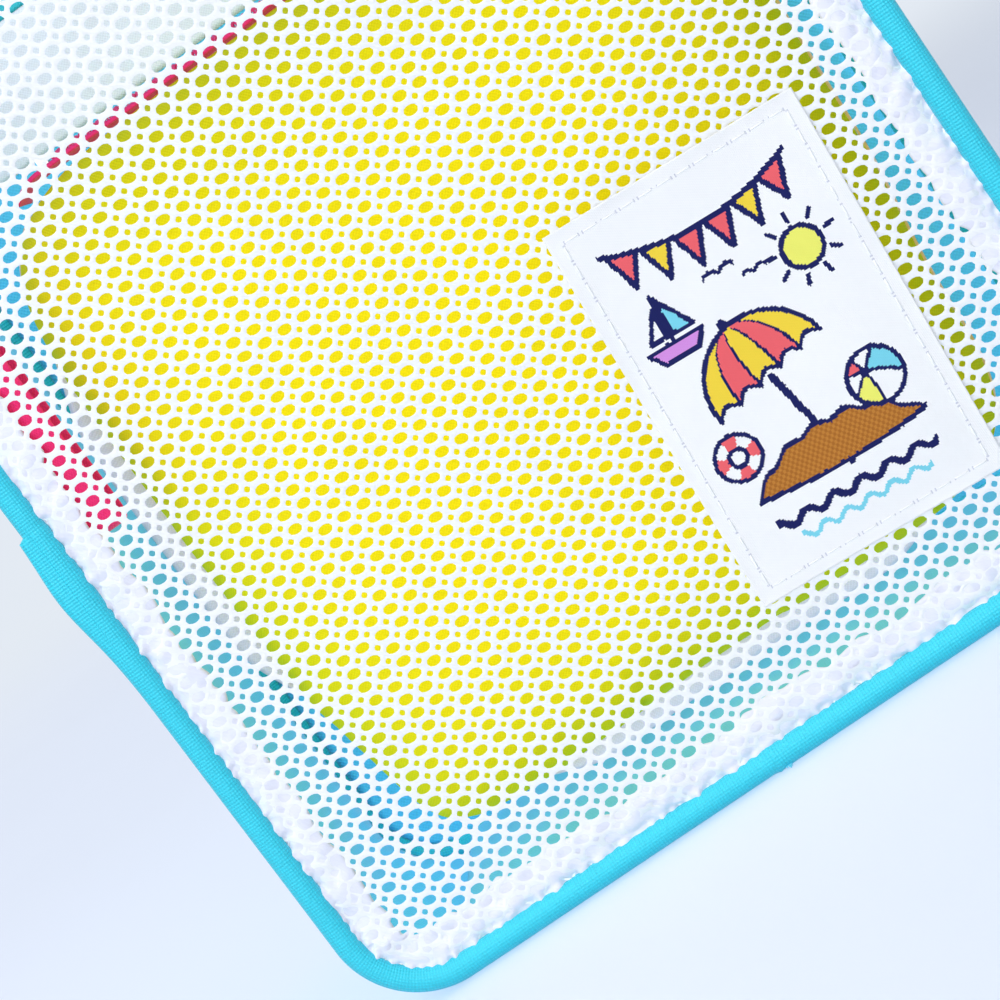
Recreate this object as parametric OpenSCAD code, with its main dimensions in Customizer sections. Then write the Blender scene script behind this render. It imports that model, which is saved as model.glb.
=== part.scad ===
// Mesh beach bag with an inner zip pouch.
// +X is to the wearer's right seen from the front, -Y is the front, +Z is up.
// The origin is the middle of the flat bottom that the bag stands on.

/* [Bag] */
// Width of the bag between the middles of its left and right piping
bag_w = 200; // [180:1:260]
// Depth of the bag between the middles of its front and back piping
bag_d = 80; // [76:1:120]
// Height of the rim above the ground
bag_h = 248; // [240:1:320]
// Radius of the bottom corners, at the middle of the piping
corner_r = 18; // [14:1:30]
// Thickness of the woven side fabric
fabric_t = 0.9; // [0.6:0.1:1.2]
// Thickness of the open mesh
mesh_t = 1; // [0.8:0.1:1.4]
// Width of the doubled mesh along the seams
seam_band_w = 8.5; // [6:0.5:12]

/* [Piping] */
// Diameter of the piping over its fabric cover
piping_d = 5.8; // [5:0.1:7]
// Diameter of the filler cord in the piping
piping_cord_d = 3.8; // [3:0.1:4.2]
// Depth of the piping's sewn lip
piping_lip = 7; // [4:0.5:10]
// Thickness of the piping's fabric where it is sewn
lip_t = 0.6; // [0.4:0.1:0.8]

/* [Rim] */
// Height of the binding folded over the rim
rim_binding_h = 22; // [16:1:30]
// Thickness of each side of the binding
binding_t = 1.1; // [0.8:0.1:1.5]
// Height of the pale facing inside the back and sides, below the binding
facing_h = 30; // [20:1:40]
// Thickness of the facing
facing_t = 0.6; // [0.4:0.1:0.8]

/* [Base] */
// Height of the fabric sleeve around the base board
base_sleeve_h = 5.4; // [4:0.1:6]
// Thickness of the base board
base_board_t = 2.4; // [1.6:0.1:2.8]

/* [Label] */
// Width of the woven label
label_w = 57.5; // [40:0.5:70]
// Height of the woven label
label_h = 88.3; // [60:0.1:100]
// Thickness of the woven label
label_t = 0.7; // [0.5:0.1:1]
// Distance of the label's middle from the bag's middle
label_x = 45.2; // [-20:0.1:46]
// Height of the label's middle above the ground
label_z = 73.3; // [66:0.1:120]
// Turn of the label, as it is sewn slightly askew
label_turn = -3.8; // [-6:0.1:6]

/* [Handles] */
// Width of the handle webbing
strap_w = 25; // [20:1:30]
// Thickness of the handle webbing
strap_t = 1.8; // [1.4:0.1:2.2]
// Distance between the middles of a handle's two legs
handle_span = 90; // [80:1:110]
// Height of a handle above the rim
handle_h = 122; // [100:1:160]
// Straight length of each handle leg above the rim
handle_leg = 20; // [10:1:30]
// Lean of the standing handles away from the mouth
handle_lean = 6; // [5:1:10]
// Height of each sewn handle end
handle_end_h = 25; // [20:1:30]

/* [Key leash] */
// Width of the key leash ribbon
leash_w = 13; // [10:0.5:16]
// Thickness of the key leash ribbon
leash_t = 1.2; // [0.8:0.1:1.6]
// Length of the hanging loop below its sewn end
leash_len = 105; // [60:1:120]
// Gap between the two runs of the loop
leash_gap = 5; // [4.5:0.1:7]

/* [Pouch] */
// Room between the pouch's edging and each side of the bag, before the pouch is set off-centre
pouch_side_room = 5.1; // [4.6:0.1:12]
// Height of the pouch's padded panels
pouch_h = 176; // [150:1:180]
// Distance of the pouch's middle to the right of the bag's middle
pouch_x = 2; // [-2:0.5:2]
// Distance of the pouch's edge seam behind the bag's middle
pouch_y = 4; // [0:0.5:6]
// How far the front panel puffs out from the edge seam
pouch_front_puff = 38.5; // [30:0.5:39]
// How far the back panel puffs out from the edge seam
pouch_back_puff = 24; // [18:0.5:25]
// Thickness of a padded panel
pouch_wall = 2.4; // [1.6:0.1:3]
// Width of the binding around the pouch's edge
pouch_binding_w = 6.5; // [5:0.5:6.5]
// Thickness of the binding around the pouch's edge
pouch_binding_t = 3; // [2:0.1:4]
// How far the zip tape comes down the pouch's shoulders
zip_shoulder_h = 22; // [16:1:30]

/* [Zip] */
// Length of the zip's straight coil
zip_len = 124; // [100:1:126]
// Width of the zip tape
zip_tape_w = 14; // [12:0.5:16]
// Thickness of the zip tape
zip_tape_t = 1.2; // [0.8:0.1:1.5]
// Width of the zip coil
coil_w = 3.2; // [2.6:0.1:4]
// Height of the zip coil
coil_h = 1.9; // [1.4:0.1:2.4]
// Length of the slider
slider_len = 11; // [9:0.5:14]
// Width of the slider
slider_w = 8.4; // [7:0.2:10]
// Length of the zip pull
pull_len = 22; // [16:1:30]
// Length of each clip at the ends of the coil
zip_stop_len = 2.4; // [1.6:0.1:3]

/* [Hidden] */

$fn = 48;

// Clearances: sewn pieces lie face to face, loose pieces keep a small running gap
cord_gap = 0.1;
seam_gap = 0.2;
sewn_gap = 0.05;
panel_room = 0.3;
rest_gap = 0.3;
running_gap = 0.25;
hinge_gap = 0.4;
fold_gap = 0.1;
top_gap = 0.1;
tape_gap = 0.1;
// How far a cutting shape runs past the piece it cuts
past = 1;
// How far one shape of a piece runs into the next
overlap = 0.1;
// How far the piping's lip starts inside its tube
lip_sink = 0.4;

half_w = bag_w / 2;
half_d = bag_d / 2;
piping_r = piping_d / 2;
mesh_front = -half_d - mesh_t / 2;
mesh_back = -half_d + mesh_t / 2;
panel_half_w = half_w - piping_r;
gusset_half_d = half_d - piping_r - seam_gap;
gusset_r = corner_r + piping_r;
wall_in = half_w - fabric_t;
rim_bottom = bag_h - rim_binding_h;
groove_top = bag_h - binding_t;
panel_top = groove_top - top_gap;
lip_out = fabric_t + sewn_gap;
lip_in = lip_out + lip_t;

// ---------- shared shapes ----------

// A flat shape drawn in X and Z, given a thickness from y0 to y1
module upright(y0, y1) {
    translate([0, y1, 0])
        rotate([90, 0, 0])
            linear_extrude(y1 - y0)
                children();
}

// Outline with a flat top and two rounded bottom corners
module pocket_outline(w, bottom, top, r) {
    translate([-w, bottom + r])
        square([2 * w, top - bottom - r]);
    translate([-w + r, bottom])
        square([2 * (w - r), 2 * r]);
    for (side = [-1, 1])
        translate([side * (w - r), bottom + r])
            circle(r);
}

// U-shaped strip between the outline and the same outline moved inwards by t
module pocket_strip(w, bottom, top, r, t) {
    difference() {
        pocket_outline(w, bottom, top, r);
        pocket_outline(w - t, bottom + t, top + past, r - t);
    }
}

// Round tube along the sides and bottom of a panel, in the plane y = 0
module piping_run(outer_r, inner_r) {
    rise = rim_bottom - seam_gap - piping_r - corner_r;
    reach = half_w - corner_r;
    for (side = [-1, 1]) {
        translate([side * half_w, 0, piping_r + corner_r])
            tube(outer_r, inner_r, rise);
        translate([side * reach, 0, piping_r + corner_r])
            rotate([90, 0, 0])
                rotate([0, 0, side > 0 ? -90 : 180])
                    rotate_extrude(angle = 90)
                        translate([corner_r, 0])
                            ring(outer_r, inner_r);
    }
    translate([-reach, 0, piping_r])
        rotate([0, 90, 0])
            tube(outer_r, inner_r, 2 * reach);
}

module ring(outer_r, inner_r) {
    difference() {
        circle(outer_r);
        if (inner_r > 0)
            circle(inner_r);
    }
}

module tube(outer_r, inner_r, length) {
    linear_extrude(length)
        ring(outer_r, inner_r);
}

// Fabric tube with its sewn lip along the inside of the gusset; side is -1 at the front
module piping_cover(side) {
    lip_start = half_d - piping_r + lip_sink;
    union() {
        translate([0, side * half_d, 0])
            piping_run(piping_r, piping_cord_d / 2 + cord_gap);
        mirror([0, side > 0 ? 1 : 0, 0])
            upright(-lip_start, -lip_start + piping_lip)
                pocket_strip(half_w - lip_out, lip_out, rim_bottom - seam_gap,
                    gusset_r - lip_out, lip_t);
    }
}

module piping_cord(side) {
    translate([0, side * half_d, 0])
        piping_run(piping_cord_d / 2, 0);
}

// Ring around the mouth with square corners eased by r
module mouth_outline(w, d, r) {
    square([2 * w, 2 * (d - r)], center = true);
    square([2 * (w - r), 2 * d], center = true);
    for (x = [-1, 1], y = [-1, 1])
        translate([x * (w - r), y * (d - r)])
            circle(r);
}

// ---------- bag ----------

module front_mesh() {
    inset = seam_band_w;
    color("white")
        upright(mesh_front, mesh_back)
            pocket_outline(panel_half_w - inset, 2 * piping_r + inset, panel_top,
                corner_r - piping_r - inset);
}

module front_seam_band() {
    color("ghostwhite")
        upright(mesh_front, mesh_back)
            pocket_strip(panel_half_w, 2 * piping_r, panel_top, corner_r - piping_r, seam_band_w);
}

module front_piping_cover() {
    color("turquoise")
        piping_cover(-1);
}

module front_piping_cord() {
    color("white")
        piping_cord(-1);
}

module back_panel() {
    color("mediumturquoise")
        upright(half_d - fabric_t / 2, half_d + fabric_t / 2)
            pocket_outline(panel_half_w, 2 * piping_r, panel_top, corner_r - piping_r);
}

module back_piping_cover() {
    color("turquoise")
        piping_cover(1);
}

module back_piping_cord() {
    color("white")
        piping_cord(1);
}

// One strip of fabric up the left side, under the bottom and up the right side
module gusset() {
    color("mediumturquoise")
        upright(-gusset_half_d, gusset_half_d)
            pocket_strip(half_w, 0, panel_top, gusset_r, fabric_t);
}

// Outline seen from above, from the front of the gusset to the back, with two round back corners
module facing_outline(w, back, r) {
    translate([-w, -gusset_half_d])
        square([2 * w, gusset_half_d + back - r]);
    translate([-w + r, back - 2 * r])
        square([2 * (w - r), 2 * r]);
    for (side = [-1, 1])
        translate([side * (w - r), back - r])
            circle(r);
}

facing_corner_extra = 2.1;

// Pale strip inside the back and sides, sewn under the binding
module inner_facing() {
    side_out = half_w - lip_in - sewn_gap;
    side_in = side_out - facing_t;
    back_out = half_d - fabric_t / 2 - sewn_gap;
    back_in = back_out - facing_t;
    facing_r = piping_r + facing_corner_extra;
    color("white")
        translate([0, 0, rim_bottom - facing_h])
            linear_extrude(facing_h)
                difference() {
                    facing_outline(side_out, back_out, facing_r);
                    translate([0, -past])
                        facing_outline(side_in, back_in + past, facing_r - facing_t);
                }
}

rim_front = half_d + mesh_t / 2 + fold_gap + binding_t;
rim_corner = 4;
mouth_corner = 0.5;

// Fabric strip folded over the top edges of the panels, all round the mouth
module rim_binding() {
    groove = fabric_t + panel_room;
    outer_w = half_w + fold_gap + binding_t;
    groove_w = outer_w - binding_t;
    groove_d = rim_front - binding_t;
    color("turquoise")
        difference() {
            translate([0, 0, rim_bottom])
                linear_extrude(rim_binding_h)
                    mouth_outline(outer_w, rim_front, rim_corner);
            translate([0, 0, rim_bottom - past])
                linear_extrude(groove_top - rim_bottom + past)
                    difference() {
                        mouth_outline(groove_w, groove_d, rim_corner - binding_t);
                        mouth_outline(groove_w - groove, groove_d - groove,
                            rim_corner - binding_t - groove);
                    }
            translate([0, 0, rim_bottom - past])
                linear_extrude(rim_binding_h + 2 * past)
                    mouth_outline(groove_w - groove - binding_t, groove_d - groove - binding_t,
                        mouth_corner);
        }
}

base_lift = 0.8;
base_overhang = 1;
base_side_room = 1.2;
sleeve_extra = 0.1;
base_bottom = fabric_t + base_lift;
base_top = base_bottom + base_sleeve_h;
base_half_w = half_w - gusset_r + base_overhang;
base_half_d = half_d - piping_r - base_side_room;
sleeve_wall = fabric_t + sleeve_extra;

// Flat fabric envelope on the bottom, around the board
module base_sleeve() {
    cavity_h = base_board_t + 2 * cord_gap;
    color("turquoise")
        difference() {
            translate([-base_half_w, -base_half_d, base_bottom])
                cube([2 * base_half_w, 2 * base_half_d, base_sleeve_h]);
            translate([-base_half_w + sleeve_wall, -base_half_d + sleeve_wall,
                    base_top - sleeve_wall - cavity_h])
                cube([2 * (base_half_w - sleeve_wall), 2 * (base_half_d - sleeve_wall), cavity_h]);
        }
}

module base_board() {
    inset = sleeve_wall + cord_gap;
    color("white")
        translate([-base_half_w + inset, -base_half_d + inset, base_top - inset - base_board_t])
            cube([2 * (base_half_w - inset), 2 * (base_half_d - inset), base_board_t]);
}

module woven_label() {
    color("white")
        translate([label_x, mesh_front, label_z])
            rotate([0, -label_turn, 0])
                translate([-label_w / 2, -label_t, -label_h / 2])
                    cube([label_w, label_t, label_h]);
}

// ---------- handles ----------

strap_in = rim_front;
strap_out = strap_in + strap_t;
hinge_rise = 0.5;
hinge_z = bag_h + hinge_rise;
hinge_y = strap_out + rest_gap;
handle_steps = 48;

// Two sewn-down ends of one handle; side is -1 at the front
module handle_ends(side) {
    for (x = [-1, 1])
        translate([x * handle_span / 2 - strap_w / 2, side > 0 ? strap_in : -strap_out,
                hinge_z - hinge_gap - handle_end_h])
            cube([strap_w, strap_t, handle_end_h]);
}

// Middle line of the arch: two straight legs and half an ellipse
leg_part = 0.12;
arch_rise = handle_h - handle_leg;
leg_foot = hinge_z + hinge_gap;
function arch_point(t) =
    t < leg_part ? [-handle_span / 2, leg_foot + handle_leg * t / leg_part]
    : t > 1 - leg_part ? [handle_span / 2, leg_foot + handle_leg * (1 - t) / leg_part]
    : let (a = 180 - 180 * (t - leg_part) / (1 - 2 * leg_part))
        [handle_span / 2 * cos(a), leg_foot + handle_leg + arch_rise * sin(a)];
function arch_direction(t) =
    let (step = 0.004,
        d = arch_point(min(1, t + step)) - arch_point(max(0, t - step)))
        d / norm(d);
// The webbing lies flat at its legs and turns a quarter at the top of the arch
function webbing_turn(t) = 90 * pow(sin(180 * t), 2);
function arch_corner(t, wide, thick) =
    let (p = arch_point(t), d = arch_direction(t), turn = webbing_turn(t),
        across = wide * cos(turn) - thick * sin(turn),
        out = wide * sin(turn) + thick * cos(turn),
        z = p[1] + d[0] * across)
        [p[0] - d[1] * across, out + (z - leg_foot) * tan(handle_lean), z];

module handle_arch() {
    last = 4 * handle_steps;
    points = [for (i = [0:handle_steps], c = [[-1, -1], [1, -1], [1, 1], [-1, 1]])
        arch_corner(i / handle_steps, c[0] * strap_w / 2, c[1] * strap_t / 2)];
    sides = [for (i = [0:handle_steps - 1], k = [0:3])
        each let (a = 4 * i + k, b = 4 * i + (k + 1) % 4)
            [[a, b, b + 4], [a, b + 4, a + 4]]];
    polyhedron(points, concat([[3, 2, 1, 0]], sides, [[last, last + 1, last + 2, last + 3]]), convexity = 6);
}

module handle(side) {
    mirror([0, side > 0 ? 0 : 1, 0])
        translate([0, strap_in + strap_t / 2, 0])
            handle_arch();
}

module front_handle_ends() {
    color("turquoise")
        handle_ends(-1);
}

module back_handle_ends() {
    color("turquoise")
        handle_ends(1);
}

module front_handle() {
    color("turquoise")
        handle(-1);
}

module back_handle() {
    color("turquoise")
        handle(1);
}

// ---------- key leash ----------

leash_side_room = 2;
leash_front_room = 1.9;
leash_drop = 0.1;
leash_top_room = 4;
loop_shoulder = 0.5;
leash_left = -wall_in + leash_side_room;
leash_face = mesh_back + leash_front_room;
leash_hinge_z = rim_bottom - leash_drop;

// Ribbon end sewn to the inside of the binding at the left of the front
module leash_end() {
    back = -rim_front + 2 * binding_t + fabric_t + panel_room;
    color("deeppink")
        translate([leash_left, back, rim_bottom])
            cube([leash_w, 2 * leash_t, rim_binding_h - leash_top_room]);
}

// Hanging loop of ribbon: two flat runs joined by a round bend at the bottom
module key_leash() {
    bend_r = leash_gap / 2 + leash_t;
    run = leash_len - bend_r;
    color("deeppink")
        translate([leash_left, leash_face + bend_r, leash_hinge_z - leash_len])
            rotate([90, 0, 90])
                linear_extrude(leash_w)
                    difference() {
                        union() {
                            translate([0, bend_r])
                                circle(bend_r);
                            translate([-bend_r, bend_r])
                                square([2 * bend_r, run - loop_shoulder]);
                        }
                        translate([0, bend_r])
                            circle(bend_r - leash_t);
                        translate([-bend_r + leash_t, bend_r])
                            square([2 * (bend_r - leash_t), run - loop_shoulder - leash_t]);
                    }
}

// ---------- pouch ----------

pouch_z = base_top + rest_gap + pouch_binding_w + pouch_h / 2;
pouch_w = bag_w - 2 * (fabric_t + pouch_side_room + pouch_binding_w);
squareness = 6;
puff_flatness = 4;
puff_roundness = 0.5;
edge_steps = 72;
puff_rings = 9;

// Distance from the middle to the edge of a square with rounded sides
function edge_r(a, w, h) = pow(pow(abs(cos(a)) / w, squareness) + pow(abs(sin(a)) / h, squareness),
    -1 / squareness);
function edge_points(w, h) = [for (i = [0:edge_steps - 1])
    let (a = 360 * i / edge_steps) edge_r(a, w, h) * [cos(a), sin(a)]];
// Height of a filled panel at a share q of the way from its middle to its edge
function puff(q) = pow(1 - pow(q, puff_flatness), puff_roundness);
function dome_ring(k, w, h, rise) =
    let (q = sin(90 * k / puff_rings))
        [for (p = edge_points(w, h)) [q * p[0], -rise * puff(q), q * p[1]]];

// Puffed panel with an even wall, open at the seam plane y = 0, bulging towards -Y
module puffed_panel(rise) {
    w = pouch_w / 2;
    h = pouch_h / 2;
    n = edge_steps;
    outer = [for (k = [1:puff_rings]) each dome_ring(k, w, h, rise)];
    inner = [for (k = [1:puff_rings])
        each dome_ring(k, w - pouch_wall, h - pouch_wall, rise - pouch_wall)];
    poles = [[0, -rise, 0], [0, -rise + pouch_wall, 0]];
    base = puff_rings * n;
    outer_pole = 2 * base;
    inner_pole = 2 * base + 1;
    bands = [for (k = [0:puff_rings - 2], i = [0:n - 1])
        each let (j = (i + 1) % n, a = k * n + i, b = k * n + j, c = a + n, d = b + n)
            [[a, b, d], [a, d, c], [base + a, base + d, base + b], [base + a, base + c, base + d]]];
    caps = [for (i = [0:n - 1])
        each let (j = (i + 1) % n) [[outer_pole, j, i], [inner_pole, base + i, base + j]]];
    rim_start = (puff_rings - 1) * n;
    rim = [for (i = [0:n - 1])
        each let (j = (i + 1) % n, a = rim_start + i, b = rim_start + j)
            [[a, b, base + b], [a, base + b, base + a]]];
    polyhedron(concat(outer, inner, poles), concat(bands, caps, rim), convexity = 6);
}

module pouch_front() {
    color("gold")
        translate([pouch_x, pouch_y, pouch_z])
            puffed_panel(pouch_front_puff);
}

module pouch_back() {
    color("gold")
        translate([pouch_x, pouch_y, pouch_z])
            mirror([0, 1, 0])
                puffed_panel(pouch_back_puff);
}

// Outline of the pouch's edge, moved outwards by grow
module pouch_edge(grow) {
    translate([pouch_x, pouch_z])
        polygon(edge_points(pouch_w / 2 + grow, pouch_h / 2 + grow));
}

zip_z = pouch_z + pouch_h / 2 + tape_gap;
binding_top = pouch_z + pouch_h / 2 - zip_shoulder_h;

// Flat edging around the sides and bottom of the pouch
module pouch_binding() {
    color("gainsboro")
        upright(pouch_y - pouch_binding_t / 2, pouch_y + pouch_binding_t / 2)
            difference() {
                pouch_edge(pouch_binding_w);
                pouch_edge(sewn_gap);
                translate([pouch_x - bag_w, binding_top])
                    square([2 * bag_w, pouch_h]);
            }
}

// Tape over the top edge and down both shoulders, flat on top for the coil
module zip_tape() {
    color("hotpink")
        upright(pouch_y - zip_tape_w / 2, pouch_y + zip_tape_w / 2)
            difference() {
                union() {
                    intersection() {
                        pouch_edge(zip_tape_t + tape_gap);
                        translate([pouch_x - bag_w, binding_top + tape_gap])
                            square([2 * bag_w, pouch_h]);
                    }
                    translate([pouch_x - zip_len / 2 - zip_stop_len, zip_z - zip_tape_t])
                        square([zip_len + 2 * zip_stop_len, 2 * zip_tape_t]);
                }
                pouch_edge(tape_gap);
            }
}

coil_z = zip_z + zip_tape_t;
zip_right = pouch_x + zip_len / 2;

// Interlocked coil, drawn as the closed ridge that it makes
module zip_coil() {
    color("deeppink")
        translate([pouch_x - zip_len / 2, pouch_y - coil_w / 2, coil_z])
            cube([zip_len, coil_w, coil_h]);
}

// Metal clips at both ends of the coil
module zip_stops() {
    stop_proud = 0.4;
    color("silver")
        for (x = [pouch_x - zip_len / 2 - zip_stop_len, zip_right])
            translate([x, pouch_y - coil_w / 2 - stop_proud, coil_z])
                cube([zip_stop_len, coil_w + 2 * stop_proud, coil_h + stop_proud]);
}

slider_end_room = 0.5;
slider_lift = 0.2;
slider_roof = 1.6;
slider_x = zip_right - slider_len / 2 - slider_end_room;
slider_bottom = coil_z + slider_lift;
slider_h = coil_h + slider_roof;
slider_top = slider_bottom + slider_h;
bar_r = 0.6;
bar_room = 0.6;
bail_len = 7;
bail_w = 2.2;
bail_t = 1;
bail_gap = 2 * bar_r + bar_room;
bar_z = slider_top + bail_gap / 2;

// Slider straddling the coil, with a bail on top for the pull
module zip_slider() {
    color("silver")
        translate([slider_x, pouch_y, slider_bottom])
            difference() {
                union() {
                    translate([-slider_len / 2, -slider_w / 2, 0])
                        cube([slider_len, slider_w, slider_h]);
                    translate([-bail_len / 2, -bail_w / 2, slider_h - overlap])
                        cube([bail_len, bail_w, bail_gap + bail_t + overlap]);
                }
                translate([-slider_len, -coil_w / 2 - running_gap, -past])
                    cube([2 * slider_len, coil_w + 2 * running_gap, coil_h + past + running_gap]);
                translate([-bail_len / 2 + bail_t, -bail_w, slider_h])
                    cube([bail_len - 2 * bail_t, 2 * bail_w, bail_gap]);
            }
}

// Pull with a cross bar through the slider's bail, lying towards the left
module zip_pull() {
    arm_w = 1.2;
    pull_room = 0.9;
    eye_overlap = 0.5;
    inner_w = bail_w + pull_room;
    outer_w = inner_w + 2 * arm_w;
    eye_len = 5;
    color("deeppink")
        translate([slider_x, pouch_y, bar_z]) {
            rotate([90, 0, 0])
                cylinder(h = outer_w, r = bar_r, center = true);
            for (side = [-1, 1])
                translate([-eye_len, side * (inner_w + arm_w) / 2 - arm_w / 2, -bar_r])
                    cube([eye_len, arm_w, 2 * bar_r]);
            translate([-pull_len, -outer_w / 2, -bar_r])
                cube([pull_len - eye_len + eye_overlap, outer_w, 2 * bar_r]);
        }
}

front_mesh();
front_seam_band();
front_piping_cover();
front_piping_cord();
back_panel();
back_piping_cover();
back_piping_cord();
gusset();
inner_facing();
rim_binding();
base_sleeve();
base_board();
woven_label();
front_handle_ends();
back_handle_ends();
leash_end();
front_handle();
back_handle();
key_leash();
pouch_front();
pouch_back();
pouch_binding();
zip_tape();
zip_coil();
zip_stops();
zip_slider();
zip_pull();
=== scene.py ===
# %% [markdown]
# # A mesh beach bag
# The bag has a white net front, turquoise piping and side fabric, two webbing handles, a sewn
# label, a pink key leash and a yellow padded pouch inside. The construction is already there as
# solid parts in metres. This lesson dresses each of them as cloth, net, cord or metal, one cell
# at a time, and every new piece rides on the solid body that it belongs to, except the handle
# straps and the key leash, which ride on none.

# %% Load the solid parts
import math

import bpy
import numpy as np
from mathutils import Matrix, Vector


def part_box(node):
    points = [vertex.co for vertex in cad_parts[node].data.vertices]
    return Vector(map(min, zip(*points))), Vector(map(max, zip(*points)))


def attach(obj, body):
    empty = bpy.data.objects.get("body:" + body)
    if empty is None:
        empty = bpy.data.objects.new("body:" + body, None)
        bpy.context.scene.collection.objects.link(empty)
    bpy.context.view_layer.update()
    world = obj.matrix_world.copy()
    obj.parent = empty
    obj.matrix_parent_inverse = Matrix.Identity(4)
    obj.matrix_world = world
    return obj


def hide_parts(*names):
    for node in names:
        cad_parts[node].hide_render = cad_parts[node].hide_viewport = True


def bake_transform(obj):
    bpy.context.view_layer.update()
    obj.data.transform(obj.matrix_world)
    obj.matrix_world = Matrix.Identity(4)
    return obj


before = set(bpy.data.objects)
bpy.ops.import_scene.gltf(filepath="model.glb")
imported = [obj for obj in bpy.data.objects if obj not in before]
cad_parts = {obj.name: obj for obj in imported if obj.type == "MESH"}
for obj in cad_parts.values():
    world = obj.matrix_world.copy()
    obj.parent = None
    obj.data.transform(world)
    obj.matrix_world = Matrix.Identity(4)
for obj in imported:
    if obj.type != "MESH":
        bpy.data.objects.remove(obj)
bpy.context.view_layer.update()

mm = 0.001

# %% [markdown]
# ## Sizes
# The measures below come from the solid parts' boxes, so the dressing follows them. The middle
# of the piping is the line that the whole front is laid out from.

# %% Sizes from the solid parts
def low_high(node):
    """Lowest and highest corner of a solid part, as numpy arrays."""
    low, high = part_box(node)
    return np.array(low), np.array(high)


cover_low, cover_high = low_high("front_piping_cover")
net_low, net_high = low_high("front_mesh")
band_low = low_high("front_seam_band")[0]
gusset_low, gusset_high = low_high("gusset")
back_low, back_high = low_high("back_panel")
binding_low, binding_high = low_high("rim_binding")

piping_r = (band_low[0] - cover_low[0]) / 2
half_w = cover_high[0] - piping_r
front_y = (net_low[1] + net_high[1]) / 2
band_w = net_low[0] - band_low[0]
piping_top = cover_high[2]
rim_z = binding_high[2]
corner_r = 18 * mm
print("piping radius", round(piping_r / mm, 2), "mm; half width", round(half_w / mm, 1), "mm")

# %% [markdown]
# ## Camera
# The view is close and almost square on, tilted a little down and rolled, so the bag's bottom
# edge climbs to the right. An aim point, a distance, three angles and a long lens say the same
# as a matrix does, but can be read and changed by hand.

# %% Camera
aim_from_left, aim_from_floor = 81.9 * mm, 77.7 * mm
aim = np.array([-half_w + aim_from_left, front_y, piping_r + aim_from_floor])
camera_distance = 490.5 * mm
camera_turn = math.radians(6.62)
camera_height = math.radians(8.52)
camera_roll = math.radians(-35.68)

toward_camera = np.array([
    math.sin(camera_turn) * math.cos(camera_height),
    -math.cos(camera_turn) * math.cos(camera_height),
    math.sin(camera_height)])
level_right = np.array([math.cos(camera_turn), math.sin(camera_turn), 0])
level_up = np.cross(toward_camera, level_right)
camera_right = math.cos(camera_roll) * level_right + math.sin(camera_roll) * level_up
camera_up = np.cross(toward_camera, camera_right)

camera_data = bpy.data.cameras.new("camera")
camera_data.lens = 86.4
camera_data.sensor_width = 36
camera_data.clip_start = 0.01
camera = bpy.data.objects.new("camera", camera_data)
bpy.context.collection.objects.link(camera)
camera_place = np.eye(4)
camera_place[:3, 0] = camera_right
camera_place[:3, 1] = camera_up
camera_place[:3, 2] = toward_camera
camera_place[:3, 3] = aim + camera_distance * toward_camera
camera.matrix_world = camera_place.T.tolist()
bpy.context.scene.camera = camera
bpy.context.scene.view_settings.view_transform = "Standard"
print("camera at", np.round(camera_place[:3, 3], 3))

# %% [markdown]
# ## Building blocks
# Every cloth piece here is a grid of points worked out by a formula, because cloth that is sewn
# into seams keeps their lines, and a formula can follow them. A mesh is made from its points and
# a list of faces, and is turned over if its faces look inwards. A sheet of cloth is a front grid
# and a back grid joined by walls, so it has a real thickness.

# %% Grids and points
def crossed(first, second):
    """Two grids from two rows of values: the first runs down the rows, the second across them."""
    return np.meshgrid(first, second, indexing="ij")


def round_angles(count):
    """Angles of count points spread evenly round a circle."""
    return np.linspace(0, 2 * math.pi, count, endpoint=False)


def points_from(*coordinates):
    """Points from their coordinates, one array for each."""
    return np.stack(coordinates, axis=-1)


print("a grid of 3 by 4 points:", points_from(*crossed(np.arange(3), np.arange(4))).shape)

# %% Meshes from arrays
def faced_outward(points, faces):
    """The same faces, turned over if a closed mesh is inside out. Six times its volume is the sum
    of a dot (b cross c) over its triangles, which is negative when the faces look inwards."""
    centred = points - points.mean(axis=0)
    volume = 0.0
    for f in faces:
        for k in range(1, f.shape[1] - 1):
            a, b, c = centred[f[:, 0]], centred[f[:, k]], centred[f[:, k + 1]]
            volume += np.sum(a * np.cross(b, c))
    return faces if volume > 0 else [f[:, ::-1] for f in faces]


def add_piece(name, points, faces, body, material, uv=None):
    """A mesh object from points (n, 3) and a list of face arrays, riding on a body.

    uv, when given, holds two surface coordinates in metres for each point. A piece that bends
    across a joint has no body here.
    """
    mesh = bpy.data.meshes.new(name)
    points = np.asarray(points, dtype=np.float32).reshape(-1, 3)
    faces = faced_outward(points.astype(float), faces)
    corners = np.concatenate([f.ravel() for f in faces]).astype(np.int32)
    counts = np.concatenate([np.full(len(f), f.shape[1]) for f in faces])
    starts = np.concatenate([[0], np.cumsum(counts)[:-1]]).astype(np.int32)
    mesh.vertices.add(len(points))
    mesh.vertices.foreach_set("co", points.ravel())
    mesh.loops.add(len(corners))
    mesh.loops.foreach_set("vertex_index", corners)
    mesh.polygons.add(len(starts))
    mesh.polygons.foreach_set("loop_start", starts)
    mesh.polygons.foreach_set("use_smooth", np.ones(len(starts), dtype=bool))
    if uv is not None:
        layer = mesh.uv_layers.new(name="surface")
        layer.data.foreach_set("uv", np.asarray(uv, dtype=np.float32)[corners].ravel())
    mesh.update(calc_edges=True)
    mesh.validate()
    piece = bpy.data.objects.new(name, mesh)
    bpy.context.collection.objects.link(piece)
    mesh.materials.append(material)
    if body:
        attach(piece, body)
    return piece


inside_out = [np.array([[2, 1, 0], [1, 3, 0], [3, 2, 0], [2, 3, 1]])]
print("a face turned outwards:", inside_out[0][0], "to", faced_outward(np.eye(4, 3), inside_out)[0][0])

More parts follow.
